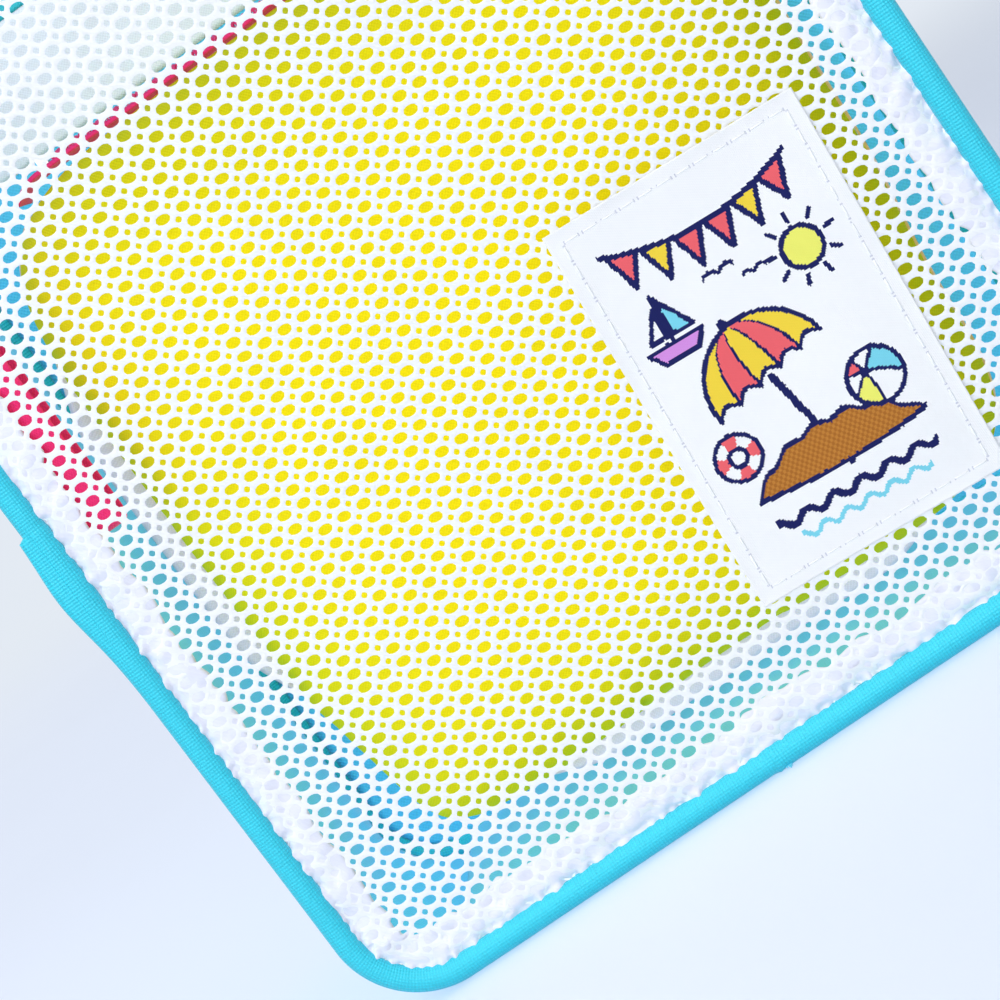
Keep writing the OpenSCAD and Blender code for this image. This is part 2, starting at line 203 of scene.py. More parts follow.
# %% Closed sheets
def grid_faces(rows, columns, wrap=False, start=0):
    """Four-cornered faces of a grid of rows by columns points; wrap joins the last column to the
    first."""
    index = start + np.arange(rows * columns).reshape(rows, columns)
    if wrap:
        index = np.concatenate([index, index[:, :1]], axis=1)
    return points_from(index[:-1, :-1], index[:-1, 1:], index[1:, 1:], index[1:, :-1]).reshape(-1, 4)


def wall_faces(edge_a, edge_b):
    """Faces of the strip between two rows of point numbers."""
    return points_from(edge_a[:-1], edge_a[1:], edge_b[1:], edge_b[:-1])


def sheet_faces(rows, columns):
    """Faces of a closed sheet: an outer grid, the same grid again behind it, and four edge walls."""
    n = rows * columns
    index = np.arange(n).reshape(rows, columns)
    outer = grid_faces(rows, columns)
    inner = grid_faces(rows, columns, start=n)[:, ::-1]
    edges = index[0, ::-1], index[-1], index[:, 0], index[::-1, -1]
    return [outer, inner] + [wall_faces(line, line + n) for line in edges]


def add_sheet(name, outer, inner, surface, body, material):
    """A closed sheet of cloth between two grids of points (rows, columns, 3)."""
    rows, columns = outer.shape[:2]
    points = np.concatenate([outer.reshape(-1, 3), inner.reshape(-1, 3)])
    uv = np.concatenate([surface.reshape(-1, 2)] * 2)
    return add_piece(name, points, sheet_faces(rows, columns), body, material, uv)


print("the smallest sheet has", sum(len(f) for f in sheet_faces(2, 2)), "faces")

# %% [markdown]
# ## Soft unevenness
# No sewn cloth is quite even. Smooth random heights give its waves and crumples, and two simple
# curves, a step and a bell, say where they begin and end.

# %% Smooth random heights
def lumps(x, y, size, seed):
    """Smooth random height from -1 to 1: random values on a square lattice of the given size,
    blended between its corners with the weight 3 t squared minus 2 t cubed."""
    cells = 64
    table = np.random.default_rng(seed).uniform(-1, 1, (cells, cells))
    gx, gy = np.asarray(x) / size, np.asarray(y) / size
    cx, cy = np.floor(gx).astype(int), np.floor(gy).astype(int)
    fx, fy = gx - cx, gy - cy
    fx, fy = fx * fx * (3 - 2 * fx), fy * fy * (3 - 2 * fy)
    left, low = cx % cells, cy % cells
    right, high = (cx + 1) % cells, (cy + 1) % cells
    near = table[left, low] * (1 - fx) + table[right, low] * fx
    far = table[left, high] * (1 - fx) + table[right, high] * fx
    return near * (1 - fy) + far * fy


def ripples(run, size, seed):
    """The same random height along a line only."""
    return lumps(run, 0 * run, size, seed)


def ramp(value, low, high):
    """0 below low, 1 above high, and a smooth step between them."""
    t = np.clip((value - low) / (high - low), 0, 1)
    return t * t * (3 - 2 * t)


def bell(value, width):
    """1 where the value is 0, falling off on both sides: e to the power -(value / width)^2."""
    return np.exp(-(value / width) ** 2)


print("three random heights:", np.round(ripples(np.arange(3) * 0.7, 1.0, 1), 2))

# %% [markdown]
# ## Cloth materials
# A woven cloth is a repeat of threads going over and under each other. The sine of one surface
# coordinate times the sine of the other gives that chequer of small humps, and a bump node turns
# it into light and shade. The pattern reads the piece's own surface coordinates, which are in
# metres, so a thread of 0.4 mm is 0.4 mm on every piece, and it turns with the cloth.

# %% A material in nodes
def shader_of(name):
    """A new material, its node tree and its Principled shader."""
    material = bpy.data.materials.new(name)
    material.use_nodes = True
    tree = material.node_tree
    return material, tree, tree.nodes["Principled BSDF"]


def set_inputs(tree, node, inputs):
    """Links each input that is given as another node's output, and sets the others."""
    for key, value in inputs.items():
        if isinstance(value, bpy.types.NodeSocket):
            tree.links.new(value, node.inputs[key])
        else:
            node.inputs[key].default_value = value


def add_node(tree, kind, inputs=None, **settings):
    """Adds one node, sets its properties, and sets or links its inputs."""
    node = tree.nodes.new(kind)
    for key, value in settings.items():
        setattr(node, key, value)
    set_inputs(tree, node, inputs or {})
    return node


def math_node(tree, operation, a, b=0.0):
    """Output of one Math node."""
    return add_node(tree, "ShaderNodeMath", {0: a, 1: b}, operation=operation).outputs[0]


# %% Steps that finishes share
def map_range(tree, value, low, high, start=0.0):
    """A value that ran from start to 1, made to run from low to high."""
    return add_node(tree, "ShaderNodeMapRange", {
        0: value, 1: start, 2: 1.0, 3: low, 4: high}).outputs[0]


def scaled(tree, colour, share):
    """A colour times a share."""
    return add_node(tree, "ShaderNodeVectorMath", {0: colour, 3: share}, operation="SCALE").outputs[0]


def bump(tree, height, depth, strength=1.0):
    """The shading of a surface whose height rises by depth as the given value goes from 0 to 1."""
    return add_node(tree, "ShaderNodeBump", {
        "Height": height, "Distance": depth, "Strength": strength}).outputs[0]


def in_piece(tree):
    """The place of a point within its piece, in metres."""
    return add_node(tree, "ShaderNodeTexCoord").outputs["Object"]


def speckle(tree, scale, detail):
    """Cloudy noise that stays with the piece, from 0 to 1."""
    return add_node(tree, "ShaderNodeTexNoise", {
        "Vector": in_piece(tree), "Scale": scale, "Detail": detail}).outputs["Fac"]


def slanting_ribs(tree, inputs):
    """Slanting bands that stay with the piece, from 0 to 1."""
    return add_node(tree, "ShaderNodeTexWave", {"Vector": in_piece(tree), **inputs},
                    bands_direction="DIAGONAL").outputs["Fac"]


def mottled(tree, colour, depth, size):
    """A colour that drifts lighter and darker over patches of the given size in metres."""
    patches = speckle(tree, 1 / size, 3.0)
    dark = [c * (1 - depth) for c in colour] + [1]
    light = [min(1, c * (1 + depth)) for c in colour] + [1]
    mix = add_node(tree, "ShaderNodeMix", {0: patches, 6: dark, 7: light}, data_type="RGBA")
    return mix.outputs[2]


# %% Woven cloth
def weave_height(tree, thread, turn=0.0, rib=1.0):
    """Height of a plain weave: sine across times sine along, with threads of the given width.
    rib stretches the threads in the second direction, which turns the weave into ribs."""
    place = add_node(tree, "ShaderNodeUVMap", uv_map="surface").outputs[0]
    scale = math.pi / thread
    turned = add_node(tree, "ShaderNodeMapping", {
        "Vector": place, "Rotation": (0, 0, math.radians(turn))}).outputs[0]
    parts = add_node(tree, "ShaderNodeSeparateXYZ", {0: turned})
    across = math_node(tree, "SINE", math_node(tree, "MULTIPLY", parts.outputs[0], scale))
    along = math_node(tree, "SINE", math_node(tree, "MULTIPLY", parts.outputs[1], scale / rib))
    return math_node(tree, "MULTIPLY", across, along)


def cloth(name, colour, thread=0.45 * mm, turn=0.0, rib=1.0, depth=0.06 * mm, rough=0.8,
          sheen=0.25, patch=9 * mm, patch_depth=0.05, weave_shade=0.1, shine=0.4):
    """A woven cloth: its colour drifts in patches, and painted shade darkens it between the threads."""
    material, tree, shader = shader_of(name)
    height = weave_height(tree, thread, turn, rib)
    # painted shade: the colour is scaled down by up to weave_shade where the weave dips between threads
    between = map_range(tree, height, 1 - weave_shade, 1.0, start=-1.0)
    set_inputs(tree, shader, {
        "Base Color": scaled(tree, mottled(tree, colour, patch_depth, patch), between),
        "Normal": bump(tree, height, depth), "Roughness": rough, "Sheen Weight": sheen,
        "Sheen Roughness": 0.4, "Specular IOR Level": shine})
    return material


# %% Colours and cloths
turquoise = (0.05, 0.67, 0.80)
side_turquoise = (0.095, 0.58, 0.90)
yellow = (0.86, 0.80, 0.008)
pink = (0.88, 0.032, 0.26)

piping_cloth = cloth("piping_cloth", (0.02, 0.57, 0.73), thread=0.5 * mm, turn=45, depth=0.08 * mm,
                     rough=0.5, sheen=0.1, shine=0.5, weave_shade=0.14)
binding_cloth = cloth("binding_cloth", turquoise, thread=0.42 * mm, depth=0.05 * mm)
side_cloth = cloth("side_cloth", side_turquoise, thread=0.5 * mm, depth=0.05 * mm, patch=25 * mm)
facing_cloth = cloth("facing_cloth", (0.78, 0.82, 0.90), thread=0.4 * mm, depth=0.03 * mm)
pouch_cloth = cloth("pouch_cloth", yellow, thread=0.4 * mm, depth=0.03 * mm, rough=0.85, sheen=0.0,
                    shine=0.15)
edging_cloth = cloth("edging_cloth", (0.69, 0.67, 0.91), thread=0.35 * mm, depth=0.03 * mm)
ribbon_cloth = cloth("ribbon_cloth", pink, thread=0.5 * mm, rib=0.6, depth=0.06 * mm)
webbing_cloth = cloth("webbing_cloth", turquoise, thread=1.1 * mm, rib=0.55, depth=0.16 * mm,
                      weave_shade=0.18)
tape_cloth = cloth("tape_cloth", pink, thread=0.45 * mm, rib=0.7, depth=0.05 * mm)
cloths = (piping_cloth, binding_cloth, side_cloth, facing_cloth, pouch_cloth, edging_cloth,
          ribbon_cloth, webbing_cloth, tape_cloth)
print("made", ", ".join(made.name for made in cloths))

# %% Sewing thread, satin and zip plastic
def sewing_thread(name, colour):
    """A twisted thread: slanting ribs and a soft shine."""
    material, tree, shader = shader_of(name)
    twist = slanting_ribs(tree, {"Scale": 700.0, "Distortion": 1.5})
    set_inputs(tree, shader, {
        "Base Color": mottled(tree, colour, 0.04, 3 * mm), "Normal": bump(tree, twist, 0.04 * mm, 0.7),
        "Roughness": 0.5, "Sheen Weight": 0.3})
    return material


def woven_picture(name):
    """Satin whose colour comes from each crossing's own thread, ribbed by warp and weft, with painted
    shade where the ribs dip.
    """
    material, tree, shader = shader_of(name)
    thread = add_node(tree, "ShaderNodeVertexColor", layer_name="threads").outputs["Color"]
    fine = weave_height(tree, 0.30 * mm, rib=0.63)
    # painted shade: the thread colours darken a little where the fine ribs dip
    painted_rib_shade = map_range(tree, fine, 0.93, 1.0, start=-1.0)
    set_inputs(tree, shader, {
        "Base Color": scaled(tree, thread, painted_rib_shade), "Normal": bump(tree, fine, 0.035 * mm, 0.8),
        "Roughness": 0.7, "Specular IOR Level": 0.12})
    return material


def moulded_plastic(name, colour):
    """Smooth plastic with faint flow marks."""
    material, tree, shader = shader_of(name)
    marks = speckle(tree, 900.0, 4.0)
    set_inputs(tree, shader, {
        "Base Color": mottled(tree, colour, 0.04, 4 * mm), "Normal": bump(tree, marks, 0.02 * mm, 0.4),
        "Roughness": map_range(tree, marks, 0.28, 0.42)})
    return material


white_thread = sewing_thread("white_thread", (0.86, 0.87, 0.885))
turquoise_thread = sewing_thread("turquoise_thread", (0.10, 0.62, 0.80))
label_satin = woven_picture("woven_satin")
tooth_plastic = moulded_plastic("tooth_plastic", (0.72, 0.05, 0.25))
print("and", ", ".join(m.name for m in (white_thread, turquoise_thread, label_satin, tooth_plastic)))

# %% [markdown]
# ## Floor and light
# A plain pale floor, a pale world all round and large soft lamps give the bright, even light of a
# small studio. Six lamps cast no shadow: they stand for the light that a white room sends back
# from everywhere, and each of them is kept to some of the pieces at the end of the lesson. The
# world and the far floor look brighter to the eye than they are as lights, so the backdrop stays
# pale and the white cloth keeps its shading.

# %% Floor
sky = (0.86, 0.92, 1.0, 1)
sky_seen, sky_light = 0.9, 0.32
floor_colour = (0.73, 0.78, 0.89)
fade_near, fade_far = 0.6, 1.5


def seen_rays(tree):
    """1 for the rays that show a surface or the world to the eye, and 0 for those that light."""
    rays = add_node(tree, "ShaderNodeLightPath")
    seen = math_node(tree, "MAXIMUM", rays.outputs["Is Camera Ray"], rays.outputs["Is Glossy Ray"])
    return math_node(tree, "MAXIMUM", seen, rays.outputs["Is Transmission Ray"])


def pale_backdrop():
    """A matte pale blue-white floor finish with faint large patches. Seen from afar it fades into
    the colour of the world between two distances from the bag, so that no horizon shows."""
    material, tree, shader = shader_of("pale_backdrop")
    set_inputs(tree, shader, {"Base Color": mottled(tree, floor_colour, 0.03, 250 * mm),
                              "Roughness": 0.9})
    distance = add_node(tree, "ShaderNodeVectorMath", {0: in_piece(tree)},
                        operation="LENGTH").outputs["Value"]
    far = add_node(tree, "ShaderNodeMapRange", {0: distance, 1: fade_near, 2: fade_far},
                   interpolation_type="SMOOTHSTEP").outputs[0]
    glow = add_node(tree, "ShaderNodeEmission", {"Color": sky, "Strength": sky_seen})
    blend = add_node(tree, "ShaderNodeMixShader", {
        0: math_node(tree, "MULTIPLY", far, seen_rays(tree)), 1: shader.outputs[0], 2: glow.outputs[0]})
    set_inputs(tree, tree.nodes["Material Output"], {"Surface": blend.outputs[0]})
    return material


floor_half = 3.0
floor_corners = np.array([[-1, -1, 0], [1, -1, 0], [1, 1, 0], [-1, 1, 0]]) * floor_half
floor_mesh = bpy.data.meshes.new("floor")
floor_mesh.from_pydata(floor_corners.tolist(), [], [(0, 1, 2, 3)])
floor_mesh.materials.append(pale_backdrop())
floor = bpy.data.objects.new("floor", floor_mesh)
bpy.context.collection.objects.link(floor)
print("floor", 2 * floor_half, "m wide")

# %% World and lamps
world = bpy.data.worlds.new("studio")
world.use_nodes = True
world_tree = world.node_tree
set_inputs(world_tree, world_tree.nodes["Background"], {
    "Color": sky, "Strength": map_range(world_tree, seen_rays(world_tree), sky_light, sky_seen)})
bpy.context.scene.world = world


def add_lamp(name, place, size, power, colour=(1.0, 1.0, 1.0), shadow=False):
    """A square area lamp that faces the bag from a place; power is in watts."""
    data = bpy.data.lights.new(name, "AREA")
    data.shape = "SQUARE"
    data.size = size
    data.energy = power
    data.color = colour
    data.use_shadow = shadow
    lamp = bpy.data.objects.new(name, data)
    bpy.context.collection.objects.link(lamp)
    away = np.array(place) - np.array(bag_middle)
    away = away / np.linalg.norm(away)
    side = np.cross((0, 0, 1), away)
    side = side / np.linalg.norm(side)
    matrix = np.eye(4)
    matrix[:3, 0], matrix[:3, 1], matrix[:3, 2], matrix[:3, 3] = side, np.cross(away, side), away, place
    lamp.matrix_world = matrix.T.tolist()
    return lamp


bag_middle = (0, 0, 0.12)
warm, yellowish = (1.0, 0.7, 0.42), (0.95, 0.85, 0.42)
key_lamp = add_lamp("key_lamp", (-0.7, -2.1, 0.85), 1.5, 19, shadow=True)
fill_lamp = add_lamp("fill_lamp", (-0.35, -0.6, 1.45), 1.2, 17)
high_lamp = add_lamp("high_lamp", (0.8, -1.0, 0.9), 1.2, 23)
low_lamp = add_lamp("low_lamp", (0.15, -1.0, -0.75), 3.2, 27, warm)
left_lamp = add_lamp("left_lamp", (-1.1, -0.8, -0.6), 1.2, 13, warm)
right_lamp = add_lamp("right_lamp", (1.3, -0.25, 0.3), 1.0, 7.5, yellowish)
trim_lamp = add_lamp("trim_lamp", (0.8, -1.2, 1.0), 0.8, 8)
top_lamp = add_lamp("top_lamp", (0.1, 0.4, 1.7), 1.2, 2.5, shadow=True)
back_lamp = add_lamp("back_lamp", (-0.8, 1.3, 0.9), 1.2, 7, shadow=True)
lamps = (key_lamp, fill_lamp, high_lamp, low_lamp, left_lamp, right_lamp, trim_lamp, top_lamp,
         back_lamp)
print(", ".join(f"{lamp.name} {lamp.data.energy:g} W" for lamp in lamps))

# %% [markdown]
# ## The bag's edge line
# The front, the back and the long side strip all share one outline: down the left side, round a
# corner, along the bottom, round a corner and up the right side. A point on it is found from how
# far the line has turned, which is 0 on the left, a quarter turn on the bottom and half a turn on
# the right, so no case is needed for straight and round stretches.

# %% A pocket-shaped outline
class PocketLine:
    """Open U-shaped line: two straight sides joined to a straight floor by two quarter circles."""

    def __init__(self, half_width, floor, radius, top):
        self.reach = half_width - radius
        self.centre = floor + radius
        self.radius = radius
        self.side = top - floor - radius
        self.arc = math.pi / 2 * radius
        self.length = 2 * (self.side + self.arc + self.reach)

    def inward(self, s):
        """Angle turned by the line at distance s, and the unit vector that points inwards there."""
        first = np.clip((s - self.side) / self.arc, 0, 1)
        second = np.clip((s - self.length + self.side + self.arc) / self.arc, 0, 1)
        turned = (first + second) * math.pi / 2
        return np.cos(turned), np.sin(turned)

    def place(self, s, inset):
        """Point at distance s, moved inwards by inset: the centre of the nearest corner, slid
        along its straight stretch, minus the inward vector times (radius - inset)."""
        across, up = self.inward(s)
        along = np.clip(s - self.side - self.arc, 0, 2 * self.reach)
        above = np.maximum(self.side - s, 0) + np.maximum(s - self.length + self.side, 0)
        x = along - self.reach - across * (self.radius - inset)
        z = self.centre + above - up * (self.radius - inset)
        return x, z

    def inset_of(self, x, z):
        """How far inside the line a point lies."""
        from_side = self.reach + self.radius - np.abs(x)
        from_floor = z - self.centre + self.radius
        corner = self.radius - np.hypot(np.maximum(self.radius - from_side, 0),
                                        np.maximum(self.radius - from_floor, 0))
        in_corner = (from_side < self.radius) & (from_floor < self.radius)
        return np.where(in_corner, corner, np.minimum(from_side, from_floor))


edge = PocketLine(half_w, piping_r, corner_r, piping_top)
print("piping is", round(edge.length, 3), "m long on each face")

# %% [markdown]
# ## White net
# The front is a knitted net. Its holes form a slanted lattice: a large oval hole, and a small
# round one in the middle of every four large ones. Around each large hole goes a tile with
# twelve points and around each small hole a diamond, and the tiles share their edges, so the
# whole net is one closed surface. The shared edges are the crests of the threads, front and
# back, and the hole edges lie halfway between, which gives each thread a lens-shaped section.

# %% Gentle waves of the front
def near_seam(x, z):
    """1 beside the piping and 0 beyond the sewn band."""
    return 1 - ramp(edge.inset_of(x, z), piping_r + 0.45 * band_w, piping_r + 1.15 * band_w)


def front_wave(x, z):
    """Height of the front's waves towards the back: two sizes of smooth random lumps, fading to
    nothing at the seam, where small crumples take over."""
    fade = ramp(edge.inset_of(x, z), 3 * mm, 22 * mm)
    crumple = 0.34 * lumps(x, z, 2.7 * mm, 15) + 0.3 * lumps(x, z, 6 * mm, 16) - 0.45
    gutter = bell(edge.inset_of(x, z) - piping_r - 0.2 * mm, 1.1 * mm)
    crumple = crumple + (0.9 + 0.25 * lumps(x, z, 1.9 * mm, 19)) * gutter
    return (fade * (0.8 * mm * lumps(x, z, 46 * mm, 3) + 0.3 * mm * lumps(x, z, 15 * mm, 4))
            + near_seam(x, z) * crumple * mm)


def net_drift(x, z):
    """Sideways drift of the net's threads, as (dx, dz), stronger where the seam gathers them."""
    fine = (0.10 + 0.42 * near_seam(x, z)) * mm
    return (0.45 * mm * lumps(x, z, 34 * mm, 5) + fine * lumps(x, z, 3.1 * mm, 7),
            0.45 * mm * lumps(x, z, 34 * mm, 6) + fine * lumps(x, z, 3.1 * mm, 8))


across = half_w * np.arange(-0.8, 1, 0.4)
print("waves across the front:", np.round(front_wave(across, rim_z / 2) / mm, 2), "mm")

# %% Net lattice
step_a = np.array([4.818, -0.089]) * mm
step_b = np.array([0.213, -3.524]) * mm
lattice_start = np.array([-half_w + 73.745 * mm, piping_r + 85.762 * mm])
bar_a, bar_b = 0.1845, 0.069
oval = np.array([1.60, 1.08]) * mm
oval_turn = math.radians(-6)
oval_power = 2.2
small_hole = 0.72 * mm
crest = 0.16 * mm
seam_margin, top_margin, side_margin = 2.1 * mm, 4 * mm, 8 * mm
under_binding = 3 * mm

tile = np.array([(0.5, 0), (0.5, bar_b), (bar_a, 0.5), (0, 0.5), (-bar_a, 0.5), (-0.5, bar_b),
                 (-0.5, 0), (-0.5, -bar_b), (-bar_a, -0.5), (0, -0.5), (bar_a, -0.5), (0.5, -bar_b)])
diamond = np.array([(0.5, bar_b), (1 - bar_a, 0.5), (0.5, 1 - bar_b), (bar_a, 0.5)])


def net_cells():
    """Whole-number places (i, j) of all large holes whose middle lies inside the piping, and
    further in where the rim's binding covers the net."""
    i, j = crossed(np.arange(-60, 61), np.arange(-70, 71))
    places = lattice_start + i[..., None] * step_a + j[..., None] * step_b
    x, z = places[..., 0], places[..., 1]
    inside = (edge.inset_of(x, z) > seam_margin) & (z < net_high[2] - top_margin)
    inside &= (z < binding_low[2] - under_binding) | (np.abs(x) < half_w - side_margin)
    return i[inside], j[inside]


def hole_points(angles):
    """Edge of a large hole: the superellipse |x/a|^n + |z/b|^n = 1, turned a little."""
    reach = (np.abs(np.cos(angles) / oval[0]) ** oval_power
             + np.abs(np.sin(angles) / oval[1]) ** oval_power) ** (-1 / oval_power)
    x, z = reach * np.cos(angles), reach * np.sin(angles)
    return points_from(x * math.cos(oval_turn) - z * math.sin(oval_turn),
                       x * math.sin(oval_turn) + z * math.cos(oval_turn))


print("large holes:", len(net_cells()[0]))

# %% Open edges
def open_edges(faces):
    """Directed edges (a, b) that belong to one face only."""
    pairs = np.concatenate([points_from(f, np.roll(f, -1, axis=1)).reshape(-1, 2) for f in faces])
    size = pairs.max() + 1
    return pairs[~np.isin(pairs[:, 0] * size + pairs[:, 1], pairs[:, 1] * size + pairs[:, 0])]


print("two joined faces have", len(open_edges([np.array([[0, 1, 2], [2, 1, 3]])])), "open edges")

# %% Net surface
def build_net():
    """Points and faces of the net, with shared points merged and its outer edge closed. A cell's
    points are, in this order, its tile, its large hole, a diamond and a small hole."""
    i, j = net_cells()
    centre = lattice_start + i[:, None] * step_a + j[:, None] * step_b
    large_n, small_n, corner_n = len(tile), 8, len(diamond)
    rim = tile[:, :1] * step_a + tile[:, 1:] * step_b
    hole = hole_points(-np.arange(large_n) * 2 * math.pi / large_n)
    small_centre = 0.5 * step_a + 0.5 * step_b
    small_rim = diamond[:, :1] * step_a + diamond[:, 1:] * step_b
    octant = np.arange(small_n) * 2 * math.pi / small_n
    start = math.atan2(*(small_rim[0] - small_centre)[::-1])
    squarish = small_hole * (1 - 0.12 * np.sin(2 * octant) ** 2)
    turn = start - octant
    small = small_centre + squarish[:, None] * points_from(np.cos(turn), np.sin(turn))

    flat = np.concatenate([rim, hole, small_rim, small])
    on_crest = np.repeat([1.0, 0.0, 1.0, 0.0], [large_n, large_n, corner_n, small_n])
    k = np.arange(large_n)
    k_next = (k + 1) % large_n
    oval_ring = points_from(k, k_next, large_n + k_next, large_n + k)
    k = np.arange(corner_n)
    corner = 2 * large_n + k
    corner_next = 2 * large_n + (k + 1) % corner_n
    first_small = 2 * large_n + corner_n
    hole_a, hole_m = first_small + 2 * k, first_small + 1 + 2 * k
    hole_b = first_small + (2 * k + 2) % small_n
    small_fan = np.concatenate([points_from(corner, hole_m, hole_a),
                                points_from(corner, corner_next, hole_m),
                                points_from(corner_next, hole_b, hole_m)])

    places = (centre[:, None, :] + flat[None]).reshape(-1, 2)
    dx, dz = net_drift(places[:, 0], places[:, 1])
    x, z = places[:, 0] + dx, places[:, 1] + dz
    y = front_y + front_wave(x, z)
    lift = np.tile(on_crest, len(centre)) * crest
    total = len(places)
    shift = (np.arange(len(centre)) * len(flat))[:, None, None]
    quads = (oval_ring[None] + shift).reshape(-1, 4)
    fans = (small_fan[None] + shift).reshape(-1, 3)
    points = np.concatenate([points_from(x, y - lift, z), points_from(x, y + lift, z)])
    same_within = 0.02 * mm
    keys = np.round(points / same_within).astype(np.int64)
    _, first, merged = np.unique(keys, axis=0, return_index=True, return_inverse=True)
    merged = merged.ravel()
    faces = [merged[quads[:, ::-1]], merged[fans[:, ::-1]], merged[quads + total], merged[fans + total]]
    partner = np.full(len(first), -1)
    partner[merged[:total]] = merged[total:]
    outline = open_edges(faces)
    outline = outline[partner[outline[:, 0]] >= 0]
    a, b = outline[:, 0], outline[:, 1]
    return points[first], faces + [points_from(b, a, partner[a], partner[b])]


net_points, net_faces = build_net()
print("net has", sum(len(f) * (f.shape[1] - 2) for f in net_faces), "triangles")

# %% Net finish
def net_thread(name, colour):
    """White knitted thread: fine diagonal ribs and a soft sheen."""
    material, tree, shader = shader_of(name)
    ribs = slanting_ribs(tree, {"Scale": 520.0, "Distortion": 6.0, "Detail": 2.0, "Detail Scale": 1.5})
    set_inputs(tree, shader, {
        "Base Color": mottled(tree, colour, 0.03, 5 * mm), "Normal": bump(tree, ribs, 0.05 * mm, 0.6),
        "Roughness": 0.8, "Sheen Weight": 0.1})
    return material


net_finish = net_thread("net_thread", (0.85, 0.865, 0.885))
# painted shade: the folded edge is the same white net, given a darker, bluer copy of its thread colour
shaded_seam_finish = net_thread("seam_thread_painted_shade", (0.77, 0.78, 0.88))
net = add_piece("net", net_points, net_faces, "bag", net_finish)
net.data.set_sharp_from_angle(angle=math.radians(50))
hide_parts("front_mesh")
print("net of", len(net.data.vertices), "points in", net_finish.name)

# %% [markdown]
# ## Seam band
# Along the piping the net lies on its own folded edge, which closes its holes from behind. The
# folded edge is a closed sheet carried along the edge line. It swells up between the net's
# threads in places, and its inner edge wanders, so it half closes some of the holes. Beside the
# piping the stitches gather it into small knobs. Its thread is the net's white, made darker and
# bluer as painted shade for the closed holes.

# %% Seam band
band_rows, band_columns = 1500, 22
band_tuck = 1.2 * mm
s_grid, t_grid = crossed(np.linspace(0, edge.length, band_rows), np.linspace(1, 0, band_columns))
wander = 0.9 * ripples(s_grid, 2.6 * mm, 12) + 0.8 * ripples(s_grid, 9 * mm, 10)
inner_reach = band_w + (wander - 0.6) * mm
band_inset = piping_r - band_tuck + (inner_reach + band_tuck) * t_grid
band_x, band_z = edge.place(s_grid, band_inset)
crumple = 0.5 * lumps(s_grid, band_inset, 2.0 * mm, 13) + 0.35 * lumps(s_grid, band_inset, 5 * mm, 14)
roll = np.sqrt(np.clip(1 - (2 * t_grid - 1) ** 8, 0, 1))
band_y = front_y + front_wave(band_x, band_z) + 0.5 * mm
beside_piping = bell(band_inset - piping_r, 1.1 * mm)
knobs = beside_piping * np.clip(0.7 + 1.0 * lumps(s_grid, band_inset, 1.3 * mm, 17), 0, 1.8)
band_outer = points_from(band_x, band_y - (roll * (0.4 + 0.5 * crumple) + knobs) * mm, band_z)
band_inner = points_from(band_x, band_y + roll * (0.5 + 0.2 * crumple) * mm + 0.05 * mm, band_z)
seam_band = add_sheet("seam_band", band_outer, band_inner, points_from(s_grid, band_inset), "bag",
                      shaded_seam_finish)
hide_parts("front_seam_band")
print("seam band", round(band_w / mm, 1), "mm wide")

# %% [markdown]
# ## Piping
# Piping is a cord wrapped in bias-cut fabric and sewn into the seam. A tube carried along the
# edge line gives its shape: a grid closed on itself, with a fan of triangles over each end. Two
# things make it real: the strip's ends overlap on the left side, where a flap swells the tube
# outwards beside a crease, and two lengths are joined on the bottom by a slanting ridge.

# %% Closed tubes
def tube_faces(rows, columns):
    """Faces of a tube of rows rings: its wall, and a fan from the first and the last ring to the
    point in its middle. The two middle points come after the points of the grid."""
    ring = np.arange(columns)
    ahead = (ring + 1) % columns
    last = (rows - 1) * columns
    first_middle = np.full(columns, rows * columns)
    return [grid_faces(rows, columns, wrap=True), points_from(ahead, ring, first_middle),
            points_from(last + ring, last + ahead, first_middle + 1)]


def with_ends(grid):
    """The points of a tube's grid, then the middles of its first and its last ring."""
    return np.concatenate([grid.reshape(-1, 3), [grid[0].mean(axis=0), grid[-1].mean(axis=0)]])


print("the smallest tube has", sum(len(f) for f in tube_faces(2, 3)), "faces")

# %% Piping tubes
overlap_from, overlap_middle = 95.5 * mm, 113 * mm
overlap_fades, overlap_to = 106 * mm, 140 * mm
join_run = 78.5 * mm


def piping_shape(s, around):
    """Radius of the covered cord: even, with slow lumps, an overlap that starts with a step and
    fades, and a slanting join. Around is 0 towards the panel, a quarter turn outwards from its
    face and half a turn at the bag's edge."""
    overlap = ramp(s, overlap_from, overlap_from + 0.5 * mm) * (1 - ramp(s, overlap_fades, overlap_to))
    swell = 0.9 + 1.2 * bell(s - overlap_middle, 13 * mm)
    flap = swell * bell(around - 0.92 * math.pi, 0.6)
    crease = -0.55 * bell(around - 0.62 * math.pi, 0.2)
    join_at = edge.side + edge.arc + join_run + 0.9 * mm * np.sin(around)
    join = bell(s - join_at, 0.6 * mm) + 0.35 * ramp(s - join_at, 0, 0.5 * mm)
    slow = lumps(s, around * piping_r, 19 * mm, 21)
    return (piping_r * (0.965 + 0.012 * slow) + overlap * (0.24 + flap + crease) * mm
            + 0.4 * mm * join)


def build_piping(name, y, side, node):
    """A tube around the edge line in the plane y; side is -1 on the front and 1 on the back."""
    rows, columns = 900, 44
    s, around = crossed(np.linspace(0, edge.length, rows), round_angles(columns))
    radius = piping_shape(s, around)
    x, z = edge.place(s, radius * np.cos(around))
    points = with_ends(points_from(x, y + side * radius * np.sin(around), z))
    uv = np.concatenate([points_from(s, around * piping_r).reshape(-1, 2), [[0, 0], [edge.length, 0]]])
    piece = add_piece(name, points, tube_faces(rows, columns), "bag", piping_cloth, uv)
    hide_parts(node)
    return piece


